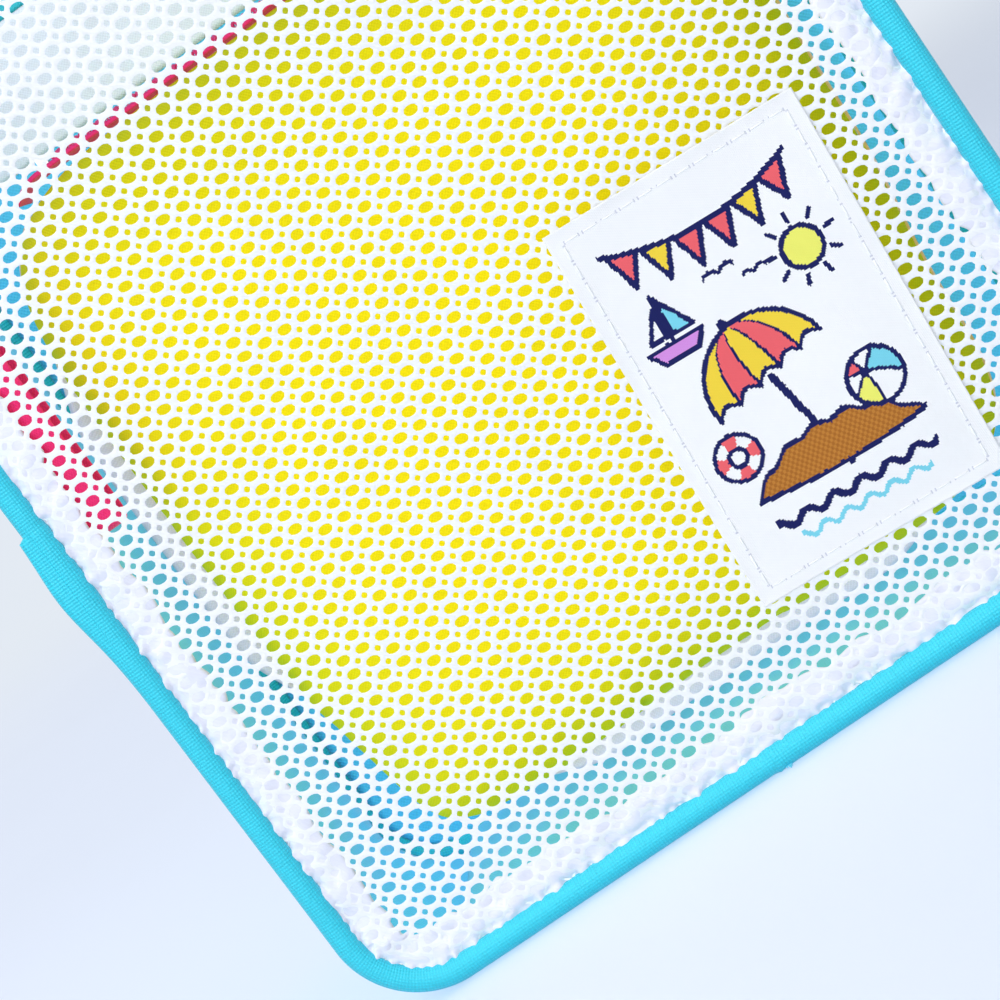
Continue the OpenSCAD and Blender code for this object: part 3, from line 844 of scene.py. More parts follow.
front_piping = build_piping("front_piping", front_y, -1, "front_piping_cover")
back_y = (back_low[1] + back_high[1]) / 2
back_piping = build_piping("back_piping", back_y, 1, "back_piping_cover")
print("piping done, front at y", round(front_y, 3), "and back at y", round(back_y, 3))

# %% [markdown]
# ## Side strip and back
# The sides and bottom are one long strip of turquoise cloth, and the back is a panel of the same
# cloth. Both are soft, so they wave a little between their seams, and both wrinkle where the
# seam gathers them.

# %% Side strip
side_line = PocketLine(gusset_high[0], gusset_low[2], corner_r + piping_r, gusset_high[2] - 0.5 * mm)
strip_rows, strip_columns = 420, 50
cloth_t = 0.9 * mm
s_grid, y_grid = crossed(np.linspace(0, side_line.length, strip_rows),
                         np.linspace(gusset_low[1], gusset_high[1], strip_columns))
from_seam = gusset_high[1] - np.abs(y_grid)
free = ramp(from_seam, 0, 14 * mm)
puckers = ripples(s_grid, 4.5 * mm, 31) * np.exp(-from_seam / (5 * mm))
on_bottom = side_line.inward(s_grid)[1]
below_rim = ramp(np.minimum(s_grid, side_line.length - s_grid), 50 * mm, 85 * mm)
sag = 1.3 + 1.5 * lumps(s_grid, y_grid, 42 * mm, 32) + 0.6 * lumps(s_grid, y_grid, 16 * mm, 33)
dent = (1 - 0.85 * on_bottom) * below_rim * (free * np.clip(sag, 0, 4.5) + 0.25 * puckers + 0.25) * mm
out_x, out_z = side_line.place(s_grid, dent)
in_x, in_z = side_line.place(s_grid, dent + cloth_t)
strip_outer = points_from(out_x, y_grid, out_z)
strip_inner = points_from(in_x, y_grid, in_z)
strip_surface = points_from(s_grid, y_grid)
side_strip = add_sheet("side_strip", strip_outer, strip_inner, strip_surface, "bag",
                       side_cloth)
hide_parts("gusset")
print("side strip", round(side_line.length, 3), "m long")

# %% Back panel
def panel_grid(half_width, floor, radius, top, rows, columns):
    """Rows from the rounded bottom to the top, each as wide as the outline is at its height."""
    round_rows = 14
    low = radius * (1 - np.cos(np.linspace(0, math.pi / 2, round_rows)))
    high = np.linspace(radius, top - floor, rows - round_rows + 1)[1:]
    height = np.concatenate([low, high])
    drop = np.clip(radius - height, 0, radius)
    reach = half_width - radius + np.sqrt(np.maximum(radius ** 2 - drop ** 2, 0))
    share = np.linspace(1, -1, columns)
    return reach[:, None] * share[None], np.repeat((floor + height)[:, None], columns, axis=1)


panel_x, panel_z = panel_grid(back_high[0], back_low[2], corner_r - piping_r, back_high[2], 130, 110)
seam_distance = edge.inset_of(panel_x, panel_z)
free = ramp(seam_distance, 3 * mm, 30 * mm) * ramp(rim_z - panel_z, 50 * mm, 85 * mm)
wave = free * (1.5 * lumps(panel_x, panel_z, 55 * mm, 41) + 0.7 * lumps(panel_x, panel_z, 21 * mm, 42))
beside_seam = np.exp(-(seam_distance - 3 * mm) / (5 * mm))
wave = wave + 0.22 * lumps(panel_x, panel_z, 4.5 * mm, 43) * beside_seam
panel_y = back_y + wave * mm
back_cloth = add_sheet("back_cloth", points_from(panel_x, panel_y + cloth_t / 2, panel_z),
                       points_from(panel_x, panel_y - cloth_t / 2, panel_z),
                       points_from(panel_x, panel_z), "bag", side_cloth)
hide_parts("back_panel")
print("back panel", panel_x.shape)

# %% [markdown]
# ## Rim
# The top edges of the net, the sides and the back are caught in one folded strip. Seen from
# above it is a rectangle with eased corners, and its section is a fold that is round on top and
# dips a little along its row of stitches.

# %% Round the mouth
def mouth_place(s, half_x, half_y, radius):
    """Nearest corner centre and outward normal at distance s around a rectangle with
    quarter-circle corners, starting in the middle of the front and running to +X."""
    side_x, side_y, arc = 2 * (half_x - radius), 2 * (half_y - radius), math.pi / 2 * radius
    lengths = np.array([side_x / 2, arc, side_y, arc, side_x, arc, side_y, arc, side_x / 2])
    stops = np.concatenate([[0], np.cumsum(lengths)])
    done = [np.clip(s - start, 0, run) for start, run in zip(stops, lengths)]
    turned = sum(done[1:8:2]) / radius
    return (done[0] - done[4] + done[8], done[2] - done[6] - side_y / 2,
            np.sin(turned), -np.cos(turned))


def mouth_length(half_x, half_y, radius):
    """Length around that rectangle."""
    return 4 * (half_x + half_y - 2 * radius) + 2 * math.pi * radius


print("round a circle of radius 1:", round(mouth_length(1, 1, 1), 3))

# %% Section of the fold
rim_half_x = (binding_high[0] - binding_low[0]) / 2
rim_half_y = (binding_high[1] - binding_low[1]) / 2
rim_radius = 4 * mm
rim_t = 3.4 * mm
rim_height = binding_high[2] - binding_low[2]
rim_around = mouth_length(rim_half_x, rim_half_y, rim_radius)
rim_stitch_z = 1.9 * mm


def rim_section(share):
    """Closed section of the fold, as (depth from the outer face, height above its lower edge):
    up the outer face, a half circle over the top, down the inner face and back along the edge."""
    t = np.asarray(share)
    corner = rim_t / 2
    straight = rim_height - corner
    total = 2 * straight + math.pi * corner + rim_t
    run = t * total
    up = np.clip(run, 0, straight)
    over = np.clip(run - straight, 0, math.pi * corner) / corner
    down = np.clip(run - straight - math.pi * corner, 0, straight)
    under = np.clip(run - 2 * straight - math.pi * corner, 0, rim_t)
    depth = corner - corner * np.cos(over) - under
    height = up - down + corner * np.sin(over)
    return depth, height


print("the rim is", round(rim_around, 3), "m around and", round(rim_height / mm, 1), "mm high")

# %% Rim piece
def rim_point(s, depth, height):
    """Point of the fold at distance s, with its fullness, its ripples and a dip at the stitches."""
    cx, cy, nx, ny = mouth_place(s, rim_half_x, rim_half_y, rim_radius)
    share = height / rim_height
    full = 0.35 * mm * np.sin(math.pi * np.clip((share - 0.12) / 0.7, 0, 1)) ** 2
    ripple = 0.16 * mm * lumps(s, height, 6 * mm, 51) * ramp(share, 0.05, 0.3)
    dip = 0.18 * mm * bell(height - rim_stitch_z, 0.7 * mm)
    outwards = np.where(depth < rim_t / 2, 1, -1)
    radial = rim_radius - depth + outwards * (full + ripple - dip - 0.25 * mm)
    return points_from(cx + nx * radial, cy + ny * radial, binding_low[2] + height)


rim_rows, rim_columns = 1100, 60
s_grid, c_grid = crossed(np.linspace(0, rim_around, rim_rows, endpoint=False),
                         np.linspace(0, 1, rim_columns, endpoint=False))
depth, height = rim_section(c_grid)
rim_points = rim_point(s_grid, depth, height)
index = np.arange(rim_rows * rim_columns).reshape(rim_rows, rim_columns)
index = np.pad(index, ((0, 1), (0, 1)), mode="wrap")
rim_faces = points_from(index[:-1, :-1], index[1:, :-1], index[1:, 1:], index[:-1, 1:])
rim_uv = points_from(s_grid, c_grid * 2 * rim_height)
rim_piece = add_piece("rim", rim_points, [rim_faces.reshape(-1, 4)], "bag",
                      binding_cloth, rim_uv.reshape(-1, 2))
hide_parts("rim_binding")
print("rim of", rim_rows, "by", rim_columns, "points")

# %% [markdown]
# ## Facing and base
# Inside, below the rim, a pale strip covers the raw seams on the back and sides. On the bottom
# lies a flat sleeve of cloth that holds a stiff board.

# %% Facing strip
facing_low, facing_high = low_high("inner_facing")
facing_line = PocketLine(facing_high[0], -facing_high[1], 5 * mm, -facing_low[1])
facing_rows, facing_columns, facing_t = 260, 22, 0.6 * mm
s_grid, z_grid = crossed(np.linspace(0, facing_line.length, facing_rows),
                         np.linspace(facing_low[2], facing_high[2], facing_columns))
below_top = ramp(facing_high[2] - z_grid, 2 * mm, 14 * mm)
facing_wave = 0.25 * mm * (1 + lumps(s_grid, z_grid, 24 * mm, 61)) * below_top
cloth_side_x, cloth_side_y = facing_line.place(s_grid, facing_wave)
seen_side_x, seen_side_y = facing_line.place(s_grid, facing_wave + facing_t)
facing = add_sheet("facing", points_from(seen_side_x, -seen_side_y, z_grid),
                   points_from(cloth_side_x, -cloth_side_y, z_grid), points_from(s_grid, z_grid),
                   "bag", facing_cloth)
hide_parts("inner_facing")
print("facing", facing_rows, "by", facing_columns)

# %% Base sleeve
sleeve_low, sleeve_high = low_high("base_sleeve")
sleeve_half = (sleeve_high - sleeve_low) / 2
sleeve_middle = (sleeve_high + sleeve_low) / 2
sleeve_rows, sleeve_columns = 90, 180
v_grid, u_grid = crossed(np.linspace(-1, 1, sleeve_rows), np.linspace(-1, 1, sleeve_columns))
sleeve_x = sleeve_half[0] * np.sin(math.pi / 2 * u_grid)
sleeve_y = sleeve_half[1] * np.sin(math.pi / 2 * v_grid)
pillow = np.clip((1 - np.abs(u_grid) ** 16) * (1 - np.abs(v_grid) ** 12), 0, 1) ** 0.35
soft = 0.35 * mm * lumps(sleeve_x, sleeve_y, 18 * mm, 65)
top_z = sleeve_middle[2] + 0.2 * mm + pillow * (sleeve_half[2] - 0.5 * mm + soft)
low_z = sleeve_middle[2] - 0.2 * mm - pillow * (sleeve_half[2] - 0.3 * mm)
sleeve = add_sheet("base_cover", points_from(sleeve_x, sleeve_y, top_z),
                   points_from(sleeve_x, sleeve_y, low_z), points_from(sleeve_x, sleeve_y), "bag",
                   side_cloth)
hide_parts("base_sleeve")
print("base sleeve", np.round(2 * sleeve_half / mm, 1), "mm")

# %% [markdown]
# ## Webbing straps
# A strap is a flat section carried along a path, with a slightly rounded edge. The same builder
# makes the handles, which stand up in an arch and turn so that their edges face forward at the
# top, and the key leash. A handle's two ends are sewn to the rim and its middle swings; the
# handle straps and the leash ride on no body.

# %% A strap along a path
def strap_section(columns, width, thick):
    """Closed flat oval: |x / (width / 2)| to the power 10 plus |y / (thick / 2)| squared is 1."""
    angle = round_angles(columns)
    c, s = np.cos(angle), np.sin(angle)
    return np.sign(c) * np.abs(c) ** 0.2 * width / 2, np.sign(s) * np.abs(s) ** 0.9 * thick / 2


def build_strap(name, middle, across, out, width, thick, body, material, columns=36, lift=None):
    """A strap whose middle line, width direction and thickness direction are arrays (n, 3). The
    function lift, when given, says how much it is raised at each distance across."""
    wide, deep = strap_section(columns, width, thick)
    step = np.linalg.norm(np.diff(middle, axis=0), axis=1)
    run, wide = crossed(np.concatenate([[0], np.cumsum(step)]), wide)
    if lift is not None:
        deep = deep + lift(wide) * np.sign(deep)
    points = (middle[:, None] + across[:, None] * wide[..., None]
              + out[:, None] * (deep + 0 * run)[..., None]).reshape(-1, 3)
    uv = np.concatenate([points_from(run, wide).reshape(-1, 2), [[0, 0], [run[-1, 0], 0]]])
    return add_piece(name, np.concatenate([points, middle[[0, -1]]]), tube_faces(len(middle), columns),
                     body, material, uv)


print("half widths round a strap:", np.round(strap_section(8, 2.0, 1.0)[0], 2))

# %% Path of a handle
handle_low, handle_high = low_high("front_handle")
ends_low, ends_high = low_high("front_handle_ends")
strap_w = 25 * mm
strap_t = ends_high[1] - ends_low[1]
span = ends_high[0] - ends_low[0] - strap_w
strap_y = (ends_high[1] + ends_low[1]) / 2
foot_z = handle_low[2]
leg_part, leg_run = 0.12, 20 * mm
arch_rise = 122 * mm - leg_run
lean = math.radians(6)
selvedge_w, selvedge_dip = 3 * mm, 0.22 * mm


def arch_line(t):
    """Middle of the handle in its own flat plane: a straight leg, half an ellipse and a straight
    leg, with t from 0 to 1."""
    angle = math.pi * (1 - np.clip((t - leg_part) / (1 - 2 * leg_part), 0, 1))
    leg = np.minimum(np.minimum(t, 1 - t) / leg_part, 1) * leg_run
    return span / 2 * np.cos(angle), foot_z + leg + arch_rise * np.sin(angle)


def handle_path(side):
    """Middle, width and thickness directions from one sewn end over the arch to the other; side
    is -1 at the front and 1 at the back."""
    t = np.linspace(0, 1, 240)
    x, z = arch_line(t)
    dx, dz = np.gradient(x), np.gradient(z)
    size = np.hypot(dx, dz)
    dx, dz = dx / size, dz / size
    dx[[0, -1]], dz[0], dz[-1] = 0, 1, -1
    turn = math.pi / 2 * np.sin(math.pi * t) ** 2
    end_z = np.linspace(ends_low[2] + 0.5 * mm, foot_z, 40)[:-1]
    zero = np.zeros_like(end_z)
    x = np.concatenate([zero - span / 2, x, zero + span / 2])
    z = np.concatenate([end_z, z, end_z[::-1]])
    dx = np.concatenate([zero, dx, zero])
    dz = np.concatenate([zero + 1, dz, zero - 1])
    turn = np.concatenate([zero, turn, zero])
    tilt = np.tan(lean) * np.maximum(z - foot_z, 0)
    middle = points_from(x, abs(strap_y) + tilt, z)
    flat_across = points_from(-dz, 0 * dx, dx)
    flat_out = np.array([0.0, 1.0, 0.0])
    c, s = np.cos(turn)[:, None], np.sin(turn)[:, None]
    across = flat_across * c + flat_out * s
    out = flat_out * c - flat_across * s
    mirror = np.array([1, side, 1])
    return middle * mirror, across * mirror, out * mirror


print("a handle's middle line has", len(handle_path(1)[0]), "points")

# %% Handles
def webbing_lift(wide):
    """Thickness of the webbing: even, thinner at the two selvedges."""
    return -selvedge_dip * ramp(np.abs(wide), strap_w / 2 - selvedge_w, strap_w / 2)


def build_handle(side, word):
    """One handle strap; side is -1 at the front and 1 at the back."""
    middle, across, out = handle_path(side)
    strap = build_strap(f"{word}_handle_strap", middle, across, out, strap_w, strap_t,
                        None, webbing_cloth, lift=webbing_lift)
    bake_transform(strap)
    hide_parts(f"{word}_handle", f"{word}_handle_ends")


for side, word in ((-1, "front"), (1, "back")):
    build_handle(side, word)
print("handles stand", round(handle_high[2] / mm, 1), "mm high")

# %% Key leash
leash_low, leash_high = low_high("key_leash")
leash_end_low, leash_end_high = low_high("leash_end")
leash_w = leash_high[0] - leash_low[0]
leash_x = (leash_high[0] + leash_low[0]) / 2
ribbon_t = 1.2 * mm
bend_r = (leash_high[1] - leash_low[1]) / 2 - ribbon_t / 2
bend_y = (leash_high[1] + leash_low[1]) / 2
bend_z = leash_low[2] + bend_r + ribbon_t / 2
run_top = leash_high[2]


def leash_path():
    """Down the front run, round the bend and up the back run, then up into the rim."""
    sewn_rows, run_rows, bend_rows = 14, 90, 30
    sewn = np.linspace(leash_end_high[2], run_top + 0.5 * mm, sewn_rows)
    down = np.linspace(run_top, bend_z, run_rows)
    angle = np.linspace(0, math.pi, bend_rows)[1:-1]
    up = np.linspace(bend_z, run_top - 0.8 * mm, run_rows)
    sway = 0.35 * mm * np.sin(math.pi * (run_top - down) / (run_top - bend_z)) ** 2
    y = np.concatenate([np.full(sewn_rows, leash_end_low[1] + ribbon_t / 2), bend_y - bend_r - sway,
                        bend_y - bend_r * np.cos(angle), np.full(run_rows, bend_y + bend_r)])
    z = np.concatenate([sewn, down, bend_z - bend_r * np.sin(angle), up])
    return points_from(np.full_like(y, leash_x), y, z)


middle = leash_path()
along = np.gradient(middle, axis=0)
along = along / np.linalg.norm(along, axis=1)[:, None]
across = np.tile([1.0, 0.0, 0.0], (len(middle), 1))
leash = build_strap("leash_ribbon", middle, across, np.cross(across, along), leash_w, ribbon_t, None,
                    ribbon_cloth, columns=28)
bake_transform(leash)
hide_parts("key_leash", "leash_end")
print("leash hangs", round((run_top - leash_low[2]) / mm, 1), "mm")

# %% [markdown]
# ## Pouch
# The yellow pouch is two padded panels sewn together at the edge. Seen from the front its edge is
# a square with rounded corners, |x/a|^6 + |z/b|^6 = 1, and each panel rises from the edge as
# (1 - q^6)^0.5, where q is the share of the way out from the middle. Short wrinkles run in from
# the seam, as the stitches gather the cloth, and die away towards the middle.

# %% Shape of the pouch
panel_low, panel_high = low_high("pouch_front")
pouch_back_low, pouch_back_high = low_high("pouch_back")
pouch_half = (panel_high - panel_low)[[0, 2]] / 2
pouch_middle = np.array([(panel_high[0] + panel_low[0]) / 2, panel_high[1],
                         (panel_high[2] + panel_low[2]) / 2])
pouch_r = 90 * mm
front_puff = panel_high[1] - panel_low[1]
back_puff = pouch_back_high[1] - pouch_back_low[1]


def pouch_edge(angle, half):
    """Distance from the middle to the edge |x/a|^6 + |z/b|^6 = 1 in the direction of angle. A hand
    sewn edge is never even: each line of the table gives a direction in half turns, how wide
    that spot is, and the share by which the edge is drawn in (-) or let out (+) there."""
    reach = (np.abs(np.cos(angle) / half[0]) ** 6 + np.abs(np.sin(angle) / half[1]) ** 6) ** (-1 / 6)
    uneven = ((1.19, 0.05, -0.030), (1.262, 0.03, 0.020), (1.5, 0.2, -0.044), (1.84, 0.1, -0.065),
              (0.02, 0.12, -0.025))
    share = 1.0
    for direction, width, amount in uneven:
        off = (angle / math.pi - direction + 1) % 2 - 1
        share = share + amount * bell(off, width)
    return reach * share


def panel_height(q):
    """Height of a filled panel: (1 - q^6)^0.5, where q is 0 in the middle and 1 at the seam."""
    return np.clip(1 - q ** 6, 0, 1) ** 0.5


def pouch_wrinkles(angle, q, seed):
    """Gathers that run in from the seam, and broad soft dents further in."""
    around = angle * pouch_r
    gather = ripples(around, 5.5 * mm, seed) + 0.6 * ripples(around, 2.6 * mm, seed + 1)
    near_seam = np.exp(-(1 - q) / 0.09) * ramp(1 - q, 0, 0.03)
    x, z = q * np.cos(angle), q * np.sin(angle)
    dents = lumps(x, z, 0.33, seed + 2) + 0.4 * lumps(x, z, 0.13, seed + 3)
    return 1.5 * mm * gather * near_seam + 1.0 * mm * dents * ramp(1 - q, 0.02, 0.3)


print("pouch", np.round(2 * pouch_half / mm, 1), "mm, puffed", round(front_puff / mm, 1), "mm in front")

# %% Pouch panels
def build_pouch_panel(name, side, puff, node, seed):
    """One padded panel, closed by a flat back at the seam; side is -1 at the front."""
    rings, columns, flat_rings, inmost = 90, 420, 6, 0.15
    q = np.sin(np.linspace(0, math.pi / 2, rings))[1:, None]
    angle = round_angles(columns)[None]
    reach = pouch_edge(angle, pouch_half - 0.3 * mm) * q
    rise = np.maximum(puff * 0.975 * panel_height(q) + pouch_wrinkles(angle, q, seed), 0)
    rise = rise * ramp(1 - q, -0.001, 0.004)
    outer = points_from(pouch_middle[0] + reach * np.cos(angle), pouch_middle[1] + side * rise,
                        pouch_middle[2] + reach * np.sin(angle))
    back = outer[-1:].copy()
    back[..., 1] = pouch_middle[1]
    shrink = np.linspace(1, inmost, flat_rings)[:, None, None]
    body = np.concatenate([outer, (pouch_middle + (back - pouch_middle) * shrink)[1:]])
    front_pole = pouch_middle + [0, side * rise[0].mean(), 0]
    points = np.concatenate([body.reshape(-1, 3), [front_pole, pouch_middle]])
    panel = add_piece(name, points, tube_faces(len(body), columns), "pouch",
                      pouch_cloth, points[:, [0, 2]])
    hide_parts(node)
    return panel


pouch_front = build_pouch_panel("pouch_front_panel", -1, front_puff, "pouch_front", 71)
pouch_back = build_pouch_panel("pouch_back_panel", 1, back_puff, "pouch_back", 81)
print("pouch panels of", len(pouch_front.data.vertices), "points each")

# %% [markdown]
# ## Pouch edging, zip tape and coil
# A pale edging is folded over the pouch's seam at the sides and bottom. A pink tape takes over
# along the top and carries the zip: a coil of plastic wire, two metal stops and a slider.

# %% Edging and tape
edging_low, edging_high = low_high("pouch_binding")
tape_low, tape_high = low_high("zip_tape")
edging_w = (edging_high[0] - edging_low[0]) / 2 - pouch_half[0]
edging_t = edging_high[1] - edging_low[1]


def edge_angles(top_z, rows):
    """Angles from the top of the left side, round the bottom, to the top of the right side."""
    rise = top_z - pouch_middle[2]
    start = math.pi - math.asin(rise / pouch_half[1])
    return np.linspace(start, 3 * math.pi - start, rows)


edging_rows, edging_columns = 700, 16
a_grid, c_grid = crossed(edge_angles(edging_high[2], edging_rows), round_angles(edging_columns))
fold = np.sign(np.cos(c_grid)) * np.abs(np.cos(c_grid)) ** 0.7
run = a_grid * pouch_r
wander = 0.35 * mm * ripples(run, 9 * mm, 91)
reach_in = pouch_edge(a_grid, pouch_half)
edge_x, edge_z = reach_in * np.cos(a_grid), reach_in * np.sin(a_grid)
on_left, on_floor = edge_x < -0.5 * pouch_half[0], edge_z < -0.5 * pouch_half[1]
open_left = on_left * ramp(edge_z, -44 * mm, -20 * mm) * ramp(-edge_z, -58 * mm, -32 * mm)
open_floor = on_floor * ramp(edge_x, -58 * mm, -34 * mm) * ramp(-edge_x, -58 * mm, -32 * mm)
opened = np.maximum(open_left, open_floor)
seen_w = edging_w * (0.1 + 0.9 * opened)
reach = reach_in + seen_w / 2 + fold * (seen_w / 2 - 0.05 * mm) + wander * (fold < 0)
thick = (edging_t / 2 - 0.15 * mm) * np.sin(c_grid) * (1 + 0.12 * ripples(run, 3 * mm, 92))
curled = (1 - opened) * 2.4 * mm * ramp(-fold, -1, 1)
edging_points = with_ends(points_from(
    pouch_middle[0] + reach * np.cos(a_grid), pouch_middle[1] + thick + curled,
    pouch_middle[2] + reach * np.sin(a_grid)))
edging_uv = np.concatenate([points_from(run, c_grid * 3 * mm).reshape(-1, 2), [[0, 0], [1, 0]]])
edging = add_piece("pouch_edging", edging_points, tube_faces(edging_rows, edging_columns), "pouch",
                   edging_cloth, edging_uv)
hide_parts("pouch_binding")
print("edging", round(edging_w / mm, 1), "mm wide")

# %% Zip tape
tape_half = tape_high[1] - pouch_middle[1]
plate_low, plate_high = low_high("zip_coil")
plate_half = (plate_high[0] - plate_low[0]) / 2 + 2.4 * mm
plate_top = plate_low[2]
tape_lift, tape_t, tape_r = 1.25 * mm, 1.0 * mm, 95 * mm


def tape_line(angle, grow):
    """Middle line of the tape: the pouch's edge moved out by grow, lifted flat under the coil and
    easing down to the shoulders on both sides of it."""
    reach = pouch_edge(angle, pouch_half) + grow
    x, z = reach * np.cos(angle), reach * np.sin(angle)
    flat = 1 - ramp(np.abs(x), plate_half, plate_half + 14 * mm)
    flat = flat * (z > 0)
    z = z + (plate_top - pouch_middle[2] - tape_lift + grow - z) * flat
    return pouch_middle[0] + x, pouch_middle[2] + z


tape_rows, tape_columns = 420, 30
shoulder = math.asin((tape_low[2] + 0.3 * mm - pouch_middle[2]) / pouch_half[1])
a_grid, y_grid = crossed(np.linspace(shoulder, math.pi - shoulder, tape_rows),
                         np.linspace(-tape_half, tape_half, tape_columns))
tape_run = a_grid * tape_r
edge_frill = ramp(np.abs(y_grid), 3.5 * mm, tape_half)
droop = edge_frill * (0.25 + 0.2 * lumps(tape_run, y_grid, 7 * mm, 95)) * mm
top_x, top_z = tape_line(a_grid, tape_lift - droop)
low_x, low_z = tape_line(a_grid, tape_lift - tape_t - droop)
tape_y = pouch_middle[1] + y_grid
tape = add_sheet("tape", points_from(low_x, tape_y, low_z), points_from(top_x, tape_y, top_z),
                 points_from(tape_run, y_grid), "pouch", tape_cloth)
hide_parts("zip_tape")
print("tape", round(2 * tape_half / mm, 1), "mm wide")

# %% [markdown]
# ## Threads and teeth
# Stitches and zip teeth are the same small shape: a short thread that rises out of the cloth at
# one end and dives back in at the other. One helper makes any number of them at once, as a
# six-sided tube with six rings for each. Another places even stitches along straight lines.

# %% Many small threads
def add_threads(name, start, end, up, radius, body, slot, material, sink=1.0):
    """One mesh of many threads from start to end, arrays (n, 3), arched towards up, which is one
    direction or one for each. Each ring k sits at share t_k of the way, raised by h_k radii."""
    share = np.array([0.0, 0.14, 0.36, 0.64, 0.86, 1.0])
    raised = np.array([-sink, 0.35, 0.75, 0.75, 0.35, -sink])
    swell = np.array([0.45, 0.9, 1.0, 1.0, 0.9, 0.45])
    rings, sides = len(share), 6
    along = end - start
    length = np.linalg.norm(along, axis=1, keepdims=True)
    along = along / length
    side = np.cross(up, along)
    side = side / np.linalg.norm(side, axis=1, keepdims=True)
    up = np.cross(along, side)
    angle = np.arange(sides) * math.pi / 3
    centre = (start[:, None] + along[:, None] * (length[:, None] * share[None, :, None])
              + up[:, None] * (raised * radius)[None, :, None])
    ring = np.cos(angle)[:, None] * side[:, None, None] + np.sin(angle)[:, None] * up[:, None, None]
    points = centre[:, :, None] + ring * (swell * radius)[None, :, None, None]
    one = grid_faces(rings, sides, wrap=True)[:, ::-1]
    corner = np.arange(rings * sides)
    caps = np.array([corner[:sides], corner[:-sides - 1:-1]])
    shift = (np.arange(len(start)) * rings * sides)[:, None, None]
    faces = [(one[None] + shift).reshape(-1, 4), (caps[None] + shift).reshape(-1, sides)]
    return add_piece(name, points.reshape(-1, 3), faces, body, material)


def stitch_row(corners, pitch, part, lead=0.0):
    """Starts and ends of even stitches along the lines through the corners. There is one in each
    pitch: it begins after the share lead of it and fills the share part."""
    starts, ends = [], []
    for a, b in zip(corners[:-1], corners[1:]):
        count = max(1, int(round(np.linalg.norm(b - a) / pitch)))
        share = ((np.arange(count) + lead) / count)[:, None]
        starts.append(a + (b - a) * share)
        ends.append(a + (b - a) * (share + part / count))
    return np.concatenate(starts), np.concatenate(ends)


print("stitches along 20 mm:", len(stitch_row([np.zeros(2), np.array([20, 0])], 4, 0.8)[0]))

# %% Zip teeth
tooth_step = 1.55 * mm
tooth_x = np.arange(plate_low[0] + 0.8 * mm, plate_high[0] - 0.6 * mm, tooth_step / 2)
tooth_side = np.where(np.arange(len(tooth_x)) % 2 == 0, 1.0, -1.0)
coil_half = (plate_high[1] - plate_low[1]) / 2
tooth_r = 0.46 * mm
tooth_z = plate_low[2] + 0.85 * mm
tooth_lean = 0.15 * mm
level = np.full_like(tooth_x, tooth_z)
tooth_start = points_from(tooth_x, pouch_middle[1] + tooth_side * (coil_half - 0.2 * mm), level)
tooth_end = points_from(tooth_x + tooth_lean, pouch_middle[1] - tooth_side * 0.6 * mm, level)
teeth = add_threads("zip_teeth", tooth_start, tooth_end, (0.0, 0.0, 1.0), tooth_r, "pouch",
                    "zip_plastic", tooth_plastic, sink=0.9)
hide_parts("zip_coil")
print(len(tooth_x), "zip teeth")

# %% [markdown]
# ## Label
# The label is a woven picture. On a real loom each crossing shows one thread's colour, so every
# slanting line comes out in small steps. The sheet has the same grid of crossings, and a
# function decides which thread each one shows. The picture is built from distances: a shape is
# where its distance is below zero, and its outline is where the distance is small.

# %% Label place and grid
label_turn = math.radians(-3.8)
label_box_low, label_box_high = low_high("woven_label")
box_w, box_h = (label_box_high - label_box_low)[[0, 2]]
turn_c, turn_s = math.cos(label_turn), abs(math.sin(label_turn))
label_w = (box_w * turn_c - box_h * turn_s) / (turn_c ** 2 - turn_s ** 2)
label_h = (box_h * turn_c - box_w * turn_s) / (turn_c ** 2 - turn_s ** 2)
label_middle = (label_box_low + label_box_high) / 2
label_columns, label_rows = 192, 234


def label_place(a, b, lift):
    """Point on the label's face from distances a to the right and b up, raised by lift."""
    x = label_middle[0] + a * math.cos(label_turn) - b * math.sin(label_turn)
    z = label_middle[2] + a * math.sin(label_turn) + b * math.cos(label_turn)
    edge_gap = np.minimum(label_w / 2 - np.abs(a), label_h / 2 - np.abs(b))
    curl = 0.20 * mm * np.exp(-np.clip(edge_gap, 0, None) / (1.6 * mm)) * (
        1 + lumps(a, b, 5 * mm, 101))
    ripple = 0.12 * mm * lumps(a, b, 11 * mm, 102)
    return points_from(x, front_y + front_wave(x, z) - crest - 0.12 * mm - curl - ripple - lift, z)


print("one crossing of the label is", round(label_w / label_columns / mm, 2), "mm wide")

# %% Picture shapes
def disc(x, z, cx, cz, r):
    """Distance to a circle: the length of (x - cx, z - cz) minus r."""
    return np.hypot(x - cx, z - cz) - r


def stroke(x, z, ax, az, bx, bz):
    """Distance to the straight line from a to b."""
    dx, dz = bx - ax, bz - az
    share = np.clip(((x - ax) * dx + (z - az) * dz) / (dx ** 2 + dz ** 2), 0, 1)
    return np.hypot(x - ax - share * dx, z - az - share * dz)


def patch(x, z, corners):
    """Distance to a patch with straight sides, below zero inside it."""
    near = np.full_like(x, 1e3)
    inside = np.zeros(x.shape, dtype=bool)
    for (ax, az), (bx, bz) in zip(corners, corners[1:] + corners[:1]):
        near = np.minimum(near, stroke(x, z, ax, az, bx, bz))
        crosses = ((az > z) != (bz > z)) & (x < ax + (z - az) * (bx - ax) / (bz - az + 1e-9))
        inside ^= crosses
    return np.where(inside, -near, near)


print("from the point (3, 4) to a circle of 1:", disc(3, 4, 0, 0, 1))

